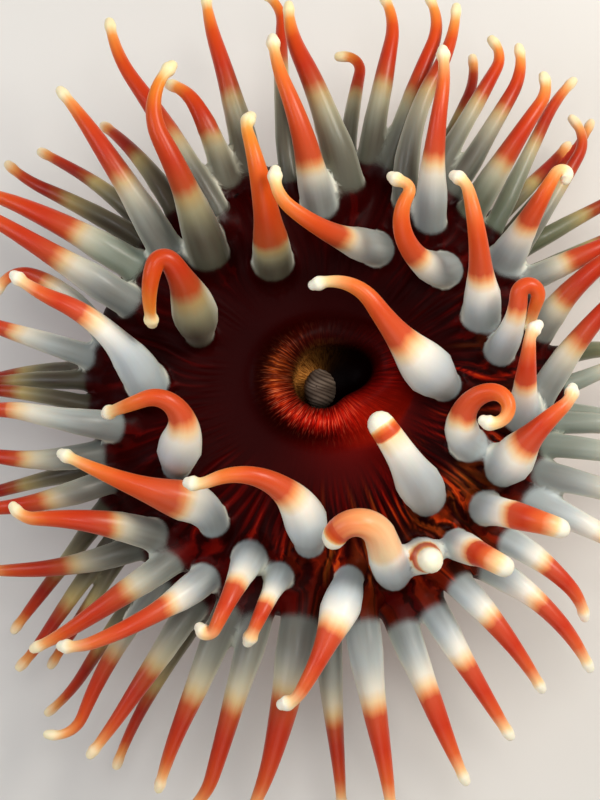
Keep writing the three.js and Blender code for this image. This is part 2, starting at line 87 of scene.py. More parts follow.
# One row a tentacle. Its root stands at x, y. Seen from above it runs for `reach` along a path that
# leaves at the heading `leave` and turns by `bend` evenly along its length, and by `curl` between the
# shares `from` and `to` of it (degrees, anticlockwise from +X). `tip z` is the height of its end,
# `arch` how far its middle is lifted, `girth` its greatest thickness, and `blush` the share of its
# length where the red begins.
# number, x, y, reach, leave, bend, curl, from, to, tip z, arch, girth, blush
TENTACLES = (
    (1, -27, 44, 67, 118, 10, -28, 0.7, 1, 46, 6, 8.5, 0.42),
    (2, -30, 33, 54, 106, 20, -78, 0.6, 1, 72, 10, 12.5, 0.42),
    (3, -40.5, 34, 54, 121, 4, 4, 0.7, 1, 62, 8, 10.5, 0.5),
    (4, -47.5, 39.5, 46, 150, 6, -20, 0.7, 1, 44, 5, 6.5, 0.6),
    (5, -48.5, 31.5, 54, 150, 8, 8, 0.7, 1, 52, 7, 9.5, 0.41),
    (6, -49.5, 21, 57, 149, 0, 4, 0.7, 1, 56, 8, 9.5, 0.45),
    (7, -46.5, 42, 43, 130, 24, -4, 0.7, 1, 32, 2, 6, 0.6),
    (8, -38.5, 46, 38, 118, 20, 0, 0.7, 1, 34, 4, 7, 0.6),
    (9, -25.5, 54.8, 33, 105, 22, 30, 0.7, 1, 55, 8, 9.5, 0.5),
    (10, -19, 57, 53, 103, 6, -12, 0.7, 1, 50, 7, 9, 0.47),
    (11, -13, 31.5, 38, 96, 12, -55, 0.88, 1, 76, 12, 12, 0.28),
    (12, 0, 46, 48, 102, 14, -20, 0.7, 1, 66, 9, 11, 0.34),
    (13, -8, 52.5, 63, 99, -14, 60, 0.8, 1, 36, 5, 6, 0.6),
    (14, 7.5, 52, 55, 105, 14, -30, 0.7, 1, 56, 8, 11, 0.55),
    (15, 7, 62.5, 37, 86, -12, 100, 0.74, 0.95, 36, 2, 5.5, 0.6),
    (16, 13, 60, 50, 82, -6, 40, 0.7, 1, 48, 7, 8, 0.5),
    (17, 17.5, 58, 55, 73, -8, 50, 0.7, 1, 44, 6, 7, 0.45),
    (18, 23, 46, 62, 96, -55, 45, 0.65, 1, 50, 7, 7.5, 0.6),
    (19, 29.5, 42.5, 46, 93, -18, 18, 0.7, 1, 68, 10, 10, 0.45),
    (20, 30, 55, 49, 62, -2, 70, 0.8, 1, 42, 5, 7, 0.6),
    (21, 34.5, 52.5, 49, 55, 8, 35, 0.7, 1, 44, 6, 7.5, 0.6),
    (22, 29.5, 56, 44, 66, 0, 30, 0.7, 1, 28, 1, 5, 0.6),
    (23, 40, 46, 44.5, 59, -4, 50, 0.8, 1, 56, 8, 9, 0.45),
    (24, 46, 41, 54, 64, 0, -18, 0.7, 1, 36, 4, 6, 0.6),
    (25, 52.5, 35, 48.5, 55, 6, 70, 0.75, 1, 38, 3, 6, 0.6),
    (26, 49.5, 33, 29.5, 62, -2, -175, 0.84, 1, 70, 8, 11.5, 0.5),
    (27, 45.5, 44.5, 38, 44, 4, 2, 0.7, 1, 26, 1, 6, 0.6),
    (28, 50, 39.5, 50, 50, 6, 6, 0.7, 1, 20, 1, 6, 0.6),
    (30, -58, 11, 41, 116, 60, 65, 0.7, 1, 48, 7, 6.5, 0.6),
    (31, -46, -2, 46.5, 113, 64, -36, 0.7, 1, 72, 10, 12.4, 0.6),
    (32, -33, 12.5, 37, 92, 70, 115, 0.48, 0.62, 74, 20, 12, 0.45),
    (33, 16.5, 37, 37, 188, -62, -44, 0.7, 1, 84, 11, 10.5, 0.45),
    (34, 35, -1.5, 47.5, 148, -34, 85, 0.64, 1, 80, 12, 13, 0.5),
    (35, 34.5, 31.5, 34, 203, -188, 125, 0.78, 0.9, 80, 12, 10.5, 0.45),
    (36, 43.3, 17, 37.5, 98, 6, 50, 0.85, 1, 78, 12, 11.3, 0.42),
    (37, 53.5, 28, 45, 22, 5, -5, 0.7, 1, 46, 6, 8, 0.35),
    (38, 58, 13, 41, 60, -36, 0, 0.7, 1, 58, 7, 9, 0.35),
    (39, 47.5, 8, 29.5, 62, 60, -215, 0.48, 0.78, 66, 16, 9, 0.5),
    (40, 54.5, -9.5, 24, 102, -20, -45, 0.8, 1, 78, 8, 11.5, 0.55),
    (41, 40.9, -17.1, 34.9, 154, -273, -95, 0.54, 1, 76, 8, 11, 0.38),
    (42, 47.5, -24.5, 29, 60, -26, 45, 0.8, 1, 70, 10, 13, 0.48),
    (43, 29, -31.5, 24, 129, -4, 0, 0.7, 1, 84, 8, 13, 0.72),
    (44, 43, -33, 19, -16, -2, 0, 0.7, 1, 74, 8, 9.8, 0.58),
    (45, 63, -1, 34, 20, 8, 0, 0.7, 1, 32, 1, 6, 0.6),
    (46, 63, -6, 38, -3, -8, 0, 0.7, 1, 28, 1, 6, 0.6),
    (47, 60, -10, 42, 2, -12, 0, 0.7, 1, 40, 5, 7, 0.6),
    (48, 57.5, -15.7, 46, -4, -14, 0, 0.7, 1, 48, 7, 7.5, 0.6),
    (49, 56, -23, 48, -14, -4, 0, 0.7, 1, 52, 8, 9, 0.6),
    (50, 53.5, -28.5, 46, -28, 0, 0, 0.7, 1, 48, 7, 9, 0.6),
    (51, 52, 37, 48, 30, 0, 0, 0.7, 1, 26, 1, 6, 0.6),
    (52, 56, 30.5, 44, 27, 0, 0, 0.7, 1, 24, 1, 6, 0.6),
    (53, 62.5, 8, 38, 20, -35, 0, 0.7, 1, 22, 1, 6, 0.6),
    (54, 58, -5.5, 47, 64, -26, 0, 0.7, 1, 58, 9, 9, 0.45),
    (55, -60.5, 7.5, 42, 164, -4, 8, 0.7, 1, 46, 6, 7.5, 0.6),
    (56, -61.5, 2, 43, 178, 6, 0, 0.7, 1, 32, 3, 6, 0.6),
    (57, -63, 5, 38, 176, 14, 0, 0.7, 1, 22, 1, 5.5, 0.6),
    (58, -61, -5.5, 40, 166, 12, 10, 0.7, 1, 40, 4, 5.5, 0.6),
    (59, -53.5, -11.3, 43, 177, -18, 36, 0.55, 1, 56, 8, 9, 0.7),
    (60, -39.5, -23.5, 36.5, 74, -20, 140, 0.25, 0.7, 72, 16, 11.5, 0.5),
    (61, -28.2, -40.5, 48, 92, -14, 76, 0, 0.25, 64, 8, 11.5, 0.35),
    (62, -58, -17.5, 40, 196, -34, 22, 0.7, 1, 48, 6, 8, 0.6),
    (63, -60, -21.5, 44, 190, 6, 0, 0.7, 1, 26, 1, 6, 0.6),
    (64, -55.5, -24.5, 43, 206, -28, 0, 0.7, 1, 50, 7, 8, 0.5),
    (65, -42, -41.5, 41.5, 160, 26, -60, 0.82, 1, 62, 8, 10, 0.42),
    (66, -47, -42.5, 47, 202, -26, 4, 0.7, 1, 42, 5, 8, 0.5),
    (67, -37.5, -45, 48, 216, -4, -8, 0.7, 1, 50, 7, 9, 0.4),
    (68, -29.5, -50.5, 44, 220, -24, -22, 0.8, 1, 64, 9, 9.5, 0.4),
    (69, -18.8, -45, 26.5, 245, 0, -110, 0.82, 0.95, 70, 9, 10.4, 0.5),
    (70, -11, -50, 20, 245, 0, 0, 0.7, 1, 66, 7, 8.5, 0.6),
    (71, -31.5, -55, 55, 235, 2, -6, 0.7, 1, 44, 4, 8.5, 0.5),
    (72, -40, -49.5, 62, 227, 26, -85, 0.8, 1, 30, 1, 7, 0.5),
    (73, -43, -46.5, 57, 231, 8, -20, 0.7, 1, 20, 1, 5.5, 0.6),
    (74, -52.5, -36, 53, 231, 4, -10, 0.8, 1, 28, 1, 7, 0.6),
    (75, -56.5, -29.5, 49, 231, 0, 0, 0.7, 1, 24, 1, 6.5, 0.6),
    (76, -29, -56.5, 57, 233, 12, 4, 0.7, 1, 26, 1, 5.5, 0.6),
    (77, -22.5, -55.5, 58, 246, 2, 6, 0.7, 1, 44, 5, 10, 0.55),
    (78, -16, -57.5, 62, 255, -2, -38, 0.8, 1, 46, 6, 9.5, 0.5),
    (79, -5, -58, 60, 262, -10, -8, 0.7, 1, 48, 6, 12, 0.45),
    (80, -50.5, -38.5, 47, 236, 0, 0, 0.7, 1, 24, 1, 6, 0.6),
    (81, 8, -49.5, 40.5, 254, -18, -45, 0.85, 1, 66, 8, 11, 0.48),
    (82, 19.5, -52, 27, 108, 20, 115, 0.45, 1, 76, 12, 12, 0.5),
    (83, 26.8, -45.6, 1.2, -60, 0, 0, 0.7, 1, 80, 0, 11.5, 0.56),
    (84, 35.5, -42.5, 12.5, -28, 0, 0, 0.7, 1, 74, 8, 10, 0.66),
    (85, 10, -58.5, 58, -83, 5, -4, 0.7, 1, 46, 6, 11, 0.5),
    (86, 1.5, -61.5, 54, -88, 6, -4, 0.7, 1, 36, 4, 8.5, 0.55),
    (87, 20.5, -60, 50.5, -72, 7, 0, 0.7, 1, 46, 5, 10, 0.5),
    (88, 28, -56.5, 44.5, -61, 4, 0, 0.7, 1, 48, 5, 9.5, 0.5),
    (89, 33.5, -50, 41, -44, -14, 0, 0.7, 1, 50, 6, 9, 0.45),
    (90, 41, -47, 44, -24, -38, 0, 0.7, 1, 48, 6, 9, 0.5),
    (91, 47, -40, 34, -26, -28, -22, 0.7, 1, 50, 6, 8.5, 0.5),
    (93, -3.5, -44.5, 43.5, 84, 140, -60, 0.86, 1, 78, 12, 12, 0.5),
)


class Origin(Enum):
    """The grown piece that a face of the skin comes from; tentacles count on from the last."""

    BODY = 1
    THROAT_FOLD = 2
    TENTACLE = 10


def smoothstep(values: np.ndarray, low: float, high: float) -> np.ndarray:
    """The cubic 3t² - 2t³ of the share t of the way from low to high, held between 0 and 1."""
    share = np.clip((values - low) / (high - low), 0.0, 1.0)
    return share * share * (3.0 - 2.0 * share)


def bell(values: np.ndarray, centre: float, width: float) -> np.ndarray:
    """The bell exp(-((value - centre) / width)²)."""
    return np.exp(-(((values - centre) / width) ** 2))


def sector(angle: np.ndarray, centre_deg: float, width_deg: float) -> np.ndarray:
    """A bell over the angles about a heading, measured the short way round."""
    apart = np.angle(np.exp(1j * (angle - math.radians(centre_deg))))
    return np.exp(-((apart / math.radians(width_deg)) ** 2))


def rolled(angle: np.ndarray, radius: float, along: np.ndarray) -> np.ndarray:
    """Places on a cylinder: radius times the angle's cosine and sine, and a length along it."""
    return np.stack(np.broadcast_arrays(radius * np.cos(angle), radius * np.sin(angle), along), -1)


def sectors(angle: np.ndarray, *parts: tuple[float, float, float]) -> np.ndarray:
    """The sum of several sectors, each given as its share, heading and width."""
    return sum(share * sector(angle, centre, width) for share, centre, width in parts)


def crown_height(radius: np.ndarray) -> np.ndarray:
    """Height of the disc and margin's upper face at a radius."""
    face = np.array(CROWN_FACE)
    return np.interp(radius, face[:, 0], face[:, 1])


def spline(anchors: np.ndarray, steps: int) -> np.ndarray:
    """Points of a Catmull-Rom curve through anchors.

    Each span is the cubic whose ends lie on two anchors and whose end slopes are half the
    difference of the anchors on either side.

    Args:
        anchors: The points to pass through, one a row.
        steps: Points a span.

    Returns:
        The curve's points, from the first anchor to the last.
    """
    padded = np.vstack([2 * anchors[0] - anchors[1], anchors, 2 * anchors[-1] - anchors[-2]])
    before, start, end, after = padded[:-3], padded[1:-2], padded[2:-1], padded[3:]
    t = np.linspace(0.0, 1.0, steps, endpoint=False)[None, :, None]
    start, end, before, after = (part[:, None, :] for part in (start, end, before, after))
    slope_in, slope_out = 0.5 * (end - before), 0.5 * (after - start)
    cubic = (
        start
        + slope_in * t
        + (3 * (end - start) - 2 * slope_in - slope_out) * t**2
        + (2 * (start - end) + slope_in + slope_out) * t**3
    )
    return np.vstack([cubic.reshape(-1, anchors.shape[1]), anchors[-1:]])


@dataclass
class Grid:
    """A closed surface: rings of points carried from one pole to the other.

    Attributes:
        name: The object's name.
        origin: What its faces are marked as.
        rings: Points, (rings, around, 3) in millimetres.
        poles: The first and last point, (2, 3).
        uv: Places on the flat layout, (rings + 2, around + 1, 2), poles included.
        marks: Values at the points by name, each (rings, around) or (rings, around, 3).
    """

    name: str
    origin: int
    rings: np.ndarray
    poles: np.ndarray
    uv: np.ndarray
    marks: dict[str, np.ndarray]

    def corners(self) -> tuple[np.ndarray, np.ndarray]:
        """Faces as point numbers, wound to face outwards.

        Returns:
            The quads between rings, and the triangles of both fans.
        """
        count, around = self.rings.shape[:2]
        ring = np.arange(count - 1)[:, None] * around
        here = np.arange(around)[None, :]
        there = (here + 1) % around
        quads = np.stack([ring + here, ring + there, ring + around + there, ring + around + here], -1)
        first, last = count * around, count * around + 1
        top = (count - 1) * around
        fans = np.concatenate([
            np.stack([np.full(around, first), there[0], here[0]], -1),
            np.stack([np.full(around, last), top + here[0], top + there[0]], -1),
        ])
        return quads.reshape(-1, 4), fans

    def layout(self) -> np.ndarray:
        """Places of the face corners on the flat layout.

        Returns:
            One row a corner, in the order of `corners`.
        """
        uv = self.uv
        inner = uv[1:-1]
        quads = np.stack([inner[:-1, :-1], inner[:-1, 1:], inner[1:, 1:], inner[1:, :-1]], 2)
        foot = 0.5 * (uv[0, :-1] + uv[0, 1:])
        head = 0.5 * (uv[-1, :-1] + uv[-1, 1:])
        fans = np.concatenate([
            np.stack([foot, uv[1, 1:], uv[1, :-1]], 1),
            np.stack([head, uv[-2, :-1], uv[-2, 1:]], 1),
        ])
        return np.concatenate([quads.reshape(-1, 2), fans.reshape(-1, 2)])

    def build(self, collection: bpy.types.Collection) -> bpy.types.Object:
        """Makes the mesh object, with its marks, its layout and its origin on every face.

        Args:
            collection: Where the object is linked.

        Returns:
            The new object.
        """
        quads, fans = self.corners()
        points = np.vstack([self.rings.reshape(-1, 3), self.poles]) * MM
        mesh = bpy.data.meshes.new(self.name)
        mesh.from_pydata(points.tolist(), [], quads.tolist() + fans.tolist())
        for name, values in self.marks.items():
            ends = np.stack([values[0].mean(axis=0), values[-1].mean(axis=0)])
            width = 1 if values.ndim == 2 else values.shape[2]
            kind, slot = ("FLOAT", "value") if width == 1 else ("FLOAT_VECTOR", "vector")
            flat = np.concatenate([values.reshape(-1, width), ends.reshape(2, width)])
            mesh.attributes.new(name, kind, "POINT").data.foreach_set(slot, flat.astype(np.float32).ravel())
        origins = np.full(len(mesh.polygons), self.origin, np.int32)
        mesh.attributes.new("origin", "INT", "FACE").data.foreach_set("value", origins)
        mesh.uv_layers.new(name=LAYOUT).data.foreach_set("uv", self.layout().astype(np.float32).ravel())
        item = bpy.data.objects.new(self.name, mesh)
        collection.objects.link(item)
        return item


# Every grid carries the same marks, so that the union keeps them all. The vectors carry patterns.
LIMB_MARKS = ("band", "limb_shade", "milk", "core", "flank", "green", "gold", "limb_grain")
TRUNK_MARKS = (
    "redness", "corded", "gild", "wall", "wart", "lip", "lip_glow", "amber", "hair", "gullet", "silver",
    "trunk_grain", "lip_grain",
)
MARKS = ("zone", *LIMB_MARKS, *TRUNK_MARKS)
VECTORS = ("limb_grain", "trunk_grain", "lip_grain")
LAYOUT = "OFBake"


def marks_of(shape: tuple[int, int], **given: np.ndarray | float) -> dict[str, np.ndarray]:
    """All marks over a grid, zero where they aren't given."""
    marks = {}
    for name in MARKS:
        full = (*shape, 3) if name in VECTORS else shape
        marks[name] = np.broadcast_to(np.asarray(given.get(name, 0.0), float), full)
    return marks


@dataclass
class Limb:
    """One tentacle's rings.

    Attributes:
        centre: Their centres.
        radius: Their radii.
        up: Directions square to the path, upwards.
        side: Directions square to both.
        above: Lengths above the place where the limb leaves the body, less than 0 below it.
        free: The length from there to the last full ring.
        pole: The last point of the end.
    """

    centre: np.ndarray
    radius: np.ndarray
    up: np.ndarray
    side: np.ndarray
    above: np.ndarray
    free: float
    pole: np.ndarray


@dataclass
class Crown:
    """The tentacles: tapering limbs on swollen bases, ending in a bead, along each one's own path.

    Lengths are in millimetres. Pairs named for a swelling, neck or skirt hold its place or share,
    then its width. Groups are the numbers of the tentacles that share a trait. `stout` is the girth
    from which a bead is full size, and `long` the free length from which a pale end is.
    """

    around: int = 16
    fine: int = 150
    buried: int = 15
    ring_gap: float = 2.3
    ring_turn_deg: float = 13.0
    bead_gap: float = 0.75
    bead: tuple[float, float] = (1.9, 1.55)
    bead_back: float = 1.7
    bead_half: float = 1.5
    bead_zone: float = 2.4
    stout: float = 8.0
    long: float = 62.0
    rounding: int = 12
    cap_deg: tuple[float, ...] = (25.0, 50.0, 72.0)
    neck_radius: float = 1.22
    swelling: tuple[float, float] = (0.15, 0.17)
    neck: tuple[float, float] = (0.06, 0.1)
    skirt: tuple[float, float] = (1.1, 1.6)
    inner_limb: float = 0.78
    outer_limb: float = 0.95
    blunt_tip: float = 0.27
    pale_end: float = 7.5
    blunt_end: float = 3.5
    inner_fade: float = 2.0
    outer_fade: float = 3.0
    stained_fade: float = 7.0
    unevenness: float = 0.022
    cells: int = 10
    cell_depth: float = 0.055
    cell_gap: float = 0.003
    seed: int = 11
    blunt: tuple[int, ...] = (43, 44, 82, 83, 84)
    necked: tuple[int, ...] = (32, 34, 42, 43, 60, 61, 81, 82, 83, 84, 93)
    necked_swelling: tuple[float, float] = (0.27, 0.2)
    necked_waist: tuple[float, float] = (0.1, 0.4)
    # Tentacles given a darker copy of the limb colours as painted shade: the first group fully, the second in
    # part.
    deep_shaded: tuple[int, ...] = (4, 7, 8, 22, 27, 28, 51, 52, 53, 56, 57, 58, 63, 73, 74, 75, 76, 80)
    half_shaded: tuple[int, ...] = (24, 25, 38, 45, 46, 47, 48, 49, 54, 62, 64, 66, 71, 77, 78, 79, 86)
    golden: tuple[int, ...] = (11, 12, 26, 33, 34, 35, 36, 39, 41, 43, 60, 61, 82, 83, 93)
    fair: tuple[tuple[int, tuple[float, float]], ...] = ((43, (0.34, 0.45)), (82, (0.45, 0.515)))
    olive: tuple[int, ...] = (2, 11, 32)
    green: tuple[int, ...] = (5, 23, 24, 45, 46, 47, 48, 51, 52, 53)
    # Sides, as share, heading and width in degrees, where the limbs are milky and their roots stained.
    milky_sides: tuple[tuple[float, float, float], ...] = ((0.95, -38.0, 74.0), (0.6, 178.0, 44.0))
    milky_inner: float = 0.45
    stained_side: tuple[float, float] = (-78.0, 48.0)
    # How much of that painted shade each group takes.
    deep_shade_share: float = 0.85
    half_shade_share: float = 0.4
    green_share: float = 0.2
    gold_share: float = 0.18
    gold_golden: float = 0.72
    gold_inner: float = 0.2
    # Where a limb's base colours end and its red is full, on the band's scale from 0 to 1.
    red_band: tuple[float, float] = (0.5, 0.85)
    rows: np.ndarray = field(default_factory=lambda: np.array(TENTACLES, float))

    def column(self, index: int) -> np.ndarray:
        """One column of the pose table, shaped to go along the paths."""
        return self.rows[:, index][:, None]

    def among(self, numbers: tuple[int, ...]) -> np.ndarray:
        """Which tentacles are among some numbers."""
        return np.isin(self.rows[:, 0], numbers)

    def paths(self) -> tuple[np.ndarray, np.ndarray]:
        """Centre lines from the buried root to the end.

        The heading grows evenly by `bend` and, between two shares of the length, by `curl`; the plan
        is the running sum of steps along it. The height is the straight rise plus the parabola
        4·arch·t·(1-t). The buried part runs down square to the body's face. A few passes of
        three-point averaging round the turn at the root.

        Returns:
            Points (tentacles, steps, 3) and headings (tentacles, steps) in radians.
        """
        x, y, reach, leave, bend, curl, start, stop, tip_z, arch = (self.column(i) for i in range(1, 11))
        middle = (np.arange(self.fine)[None, :] + 0.5) / self.fine
        curled = np.clip((middle - start) / (stop - start), 0.0, 1.0)
        heading = np.radians(leave + bend * middle + curl * curled)
        steps = np.stack([np.cos(heading), np.sin(heading)], -1) * (reach / self.fine)[..., None]
        root = np.stack([x, y], -1)
        plan = np.concatenate([root, root + np.cumsum(steps, axis=1)], axis=1)
        share = np.linspace(0.0, 1.0, self.fine + 1)[None, :]
        root_radius = np.hypot(x, y)
        root_z = crown_height(root_radius) - ROOT_SINK
        height = root_z + (tip_z - root_z) * share + 4 * arch * share * (1 - share)
        free = np.concatenate([plan, height[..., None]], axis=-1)

        tilt = math.radians(LEAN_DEG) * smoothstep(root_radius, LEAN_START, MARGIN_RADIUS)
        down = np.stack([-np.sin(tilt) * x / root_radius, -np.sin(tilt) * y / root_radius, -np.cos(tilt)], -1)
        depth = ROOT_DEPTH * np.linspace(1.0, 0.0, self.buried, endpoint=False)[None, :, None]
        line = np.concatenate([free[:, :1] + down * depth, free], axis=1)
        headings = np.concatenate([np.repeat(heading[:, :1], self.buried + 1, axis=1), heading], axis=1)
        for _ in range(self.rounding):
            line[:, 1:-1] += 0.25 * (line[:, :-2] - 2 * line[:, 1:-1] + line[:, 2:])
            headings[:, 1:-1] += 0.25 * (headings[:, :-2] - 2 * headings[:, 1:-1] + headings[:, 2:])
        return line, headings

    def stations(self, line: np.ndarray, heading: np.ndarray) -> tuple[np.ndarray, np.ndarray, np.ndarray]:
        """Rings' places along one path, closer together where it turns and at its bead.

        The number of rings is the running sum of length over the gap, plus the angle turned over
        the turn allowed a ring, plus length over the bead's gap along the last few millimetres.

        Args:
            line: The path's points.
            heading: Headings at them.

        Returns:
            Centres, headings and lengths from the start, one a ring.
        """
        step = np.diff(line, axis=0)
        spans = np.linalg.norm(step, axis=1)
        along = np.concatenate([[0.0], np.cumsum(spans)])
        aim = step / spans[:, None]
        turned = np.arccos(np.clip(np.sum(aim[1:] * aim[:-1], axis=1), -1.0, 1.0))
        turned = np.concatenate([[0.0], turned])
        near_end = along[-1] - along[1:] < self.bead_zone * self.bead_back
        want = spans / self.ring_gap + turned / math.radians(self.ring_turn_deg)
        want = want + near_end * spans / self.bead_gap
        count = np.concatenate([[0.0], np.cumsum(want)])
        stops = np.linspace(0.0, count[-1], int(math.ceil(count[-1])) + 1)
        places = np.stack([np.interp(stops, count, line[:, axis]) for axis in range(3)], -1)
        return places, np.interp(stops, count, heading), np.interp(stops, count, along)

    def radii(self, row: np.ndarray, free: float, above: np.ndarray) -> np.ndarray:
        """Radius at lengths above the root: skirt, neck, swelling, tapered limb and bead.

        Args:
            row: The tentacle's pose.
            free: Its free length.
            above: Lengths from where it leaves the body, less than 0 below that.

        Returns:
            Radii in millimetres.
        """
        girth, inner, blunt = row[11], row[9] > INNER_TIP_Z, row[0] in self.blunt
        share = np.clip(above / free, 0.0, 1.0)
        greatest = girth / 2
        tip = self.blunt_tip * girth if blunt else min(self.neck_radius, TIP_SHARE * girth)
        limb = tip + (greatest - tip) * (self.inner_limb if inner and not blunt else self.outer_limb)
        necked = row[0] in self.necked
        centre, width = self.necked_swelling if necked else self.swelling
        swollen = greatest - tip - (1 - centre) * (limb - tip)
        body = tip + (limb - tip) * (1 - share) + swollen * bell(share, centre, width)
        neck_length, pinch = self.necked_waist if necked else self.neck
        flare, fade = self.skirt
        skirt = flare * bell(np.maximum(above - ROOT_SINK, 0), 0.0, fade)
        body = body * (1 - pinch * bell(share, 0.0, neck_length)) + skirt
        bead = self.bead[0] if inner else self.bead[1]
        grown = max(0.0, bead - tip) * min(1.0, girth / self.stout)
        return body + grown * bell(free - above, self.bead_back - 0.3, self.bead_half)

    def tones(self) -> dict[str, np.ndarray]:
        """Each tentacle's colouring.

        Returns:
            How much painted shade each one takes, how milky it is, how green its base and how golden its
            limb, by mark.
        """
        angle = np.arctan2(self.rows[:, 2], self.rows[:, 1])
        inner = self.rows[:, 9] > INNER_TIP_Z
        milk = sectors(angle, *self.milky_sides) + self.milky_inner * inner
        deep_shaded, golden = self.among(self.deep_shaded), self.among(self.golden)
        return {
            "limb_shade": self.deep_shade_share * deep_shaded + self.half_shade_share * self.among(self.half_shaded) * ~deep_shaded,
            "milk": np.clip(milk, 0.0, 1.0) * ~self.among(self.deep_shaded + self.olive),
            "green": self.green_share * self.among(self.green),
            "gold": self.gold_share + self.gold_golden * golden + self.gold_inner * inner * ~golden,
        }

    def limb(self, row: np.ndarray, line: np.ndarray, headings: np.ndarray) -> Limb:
        """A tentacle's rings along its path, closed over the end as a half ball.

        Side lies level across the heading, made square to the path; up is square to both.

        Args:
            row: The tentacle's pose.
            line: Its path's points.
            headings: Headings at them.

        Returns:
            The rings, those of the rounded end included.
        """
        centre, heading, along = self.stations(line, headings)
        tangent = np.gradient(centre, axis=0)
        tangent /= np.linalg.norm(tangent, axis=1, keepdims=True)
        side = np.stack([np.sin(heading), -np.cos(heading), np.zeros_like(heading)], -1)
        side -= tangent * np.sum(side * tangent, axis=1, keepdims=True)
        side /= np.linalg.norm(side, axis=1, keepdims=True)
        up = np.cross(side, tangent)
        free = along[-1] - ROOT_DEPTH
        above = along - ROOT_DEPTH
        radius = self.radii(row, free, above)

        cap = np.radians(self.cap_deg)
        end, rings = radius[-1], len(cap)
        return Limb(
            centre=np.vstack([centre, centre[-1] + tangent[-1] * (end * np.sin(cap))[:, None]]),
            radius=np.concatenate([radius, end * np.cos(cap)]),
            up=np.vstack([up, np.repeat(up[-1:], rings, axis=0)]),
            side=np.vstack([side, np.repeat(side[-1:], rings, axis=0)]),
            above=np.concatenate([above, np.full(rings, free)]),
            free=free,
            pole=centre[-1] + tangent[-1] * end,
        )

    def marks(
        self, k: int, limb: Limb, angle: np.ndarray, tones: dict[str, np.ndarray]
    ) -> dict[str, np.ndarray]:
        """A tentacle's marks: `band` runs from 0 at the root through the red's start to 1 at the end.

        Args:
            k: The tentacle's row in the table.
            limb: Its rings.
            angle: Angles round a ring from its upper side.
            tones: Every tentacle's colouring.

        Returns:
            The marks by name.
        """
        row, free = self.rows[k], limb.free
        share = np.clip(limb.above / free, 0.0, 1.0)[:, None]
        shortened = self.pale_end * min(1.0, max(0.55, free / self.long))
        pale = self.blunt_end if row[0] in self.blunt else shortened
        knots = [0.0, row[12], max(row[12] + 0.05, 1 - pale / free), 1.0]
        turns = dict(self.fair).get(int(row[0]), self.red_band)
        band = np.interp(share, knots, [0.0, *turns, 1.0])
        base = 1 - smoothstep(band, 0.3, 0.5)
        tone = {name: values[k] for name, values in tones.items()}
        tone["green"] = tone["green"] * base
        tone["gold"] = tone["gold"] * smoothstep(band, 0.42, 0.8)
        stained = float(sector(np.arctan2(row[2], row[1]), *self.stained_side)) * self.stained_fade
        fade = self.inner_fade if row[9] > INNER_TIP_Z else self.outer_fade + stained
        grain = rolled(angle, 5, 0.12 * limb.above[:, None] + 9.0 * k)
        # The core, the darker canal seen through the wall, is painted on the upper side only: painted shade.
        upper = base * smoothstep(np.cos(angle), 0.1, 0.95) * bell(band, 0.2, 0.17)
        return marks_of(
            (len(limb.above), self.around), **tone, band=band, limb_grain=grain,
            zone=smoothstep(limb.above[:, None], ROOT_SINK - 0.5, ROOT_SINK + fade),
            core=upper * (1 - 0.6 * tone["milk"]),
            # Painted rim light: the flanks and underside, where the limb colour is painted paler.
            flank=smoothstep(-np.cos(angle), -0.66, 0.15),
        )

    def grids(self) -> list[Grid]:
        """The tentacles' surfaces, one a row of the table.

        A ring's point is centre + radius·(up·cos φ + side·sin φ), the radius made slightly uneven by
        waves round the ring and along the limb.

        Returns:
            The closed grids.
        """
        lines, headings = self.paths()
        tones = self.tones()
        phases = np.random.default_rng(self.seed).uniform(0.0, TURN, (len(self.rows), 3))
        angle = TURN * np.arange(self.around)[None, :] / self.around
        grids = []
        for k, row in enumerate(self.rows):
            limb = self.limb(row, lines[k], headings[k])
            share = np.clip(limb.above / limb.free, 0.0, 1.0)[:, None]
            uneven = np.sin(2 * angle + phases[k, 0] + 3 * share) + np.sin(11 * share + phases[k, 1])
            uneven = uneven + np.sin(3 * angle + phases[k, 2] - 7 * share)
            reach = limb.radius[:, None] * (1 + self.unevenness * uneven)
            spoke = limb.up[:, None] * np.cos(angle)[..., None]
            spoke = spoke + limb.side[:, None] * np.sin(angle)[..., None]
            rings = limb.centre[:, None] + spoke * reach[..., None]
            poles = np.stack([limb.centre[0], limb.pole])
            grids.append(Grid(
                f"tentacle_{int(row[0]):02d}", Origin.TENTACLE.value + k, rings, poles,
                self.cell(k, len(rings)), self.marks(k, limb, angle, tones),
            ))
        return grids

    def cell(self, index: int, rings: int) -> np.ndarray:
        """A tentacle's oblong of the flat layout: its length across and its girth up."""
        gap = self.cell_gap
        width, height = 1.0 / self.cells, self.cell_depth
        left = (index % self.cells) * width + gap
        low = (index // self.cells) * height + gap
        u = left + np.linspace(0.0, 1.0, rings + 2)[:, None] * (width - 2 * gap)
        v = low + np.linspace(0.0, 1.0, self.around + 1)[None, :] * (height - 2 * gap)
        return np.stack(np.broadcast_arrays(u, v), -1)
@dataclass(frozen=True)
class Patch:
    """A share times a bell over headings (degrees) and a bell over the outline's radii (millimetres)."""

    share: float
    heading: float
    width: float
    radius: float
    reach: float

    def over(self, angle: np.ndarray, radius: np.ndarray) -> np.ndarray:
        """The patch's strength at angles and radii."""
        return self.share * (sector(angle, self.heading, self.width) * bell(radius, self.radius, self.reach))


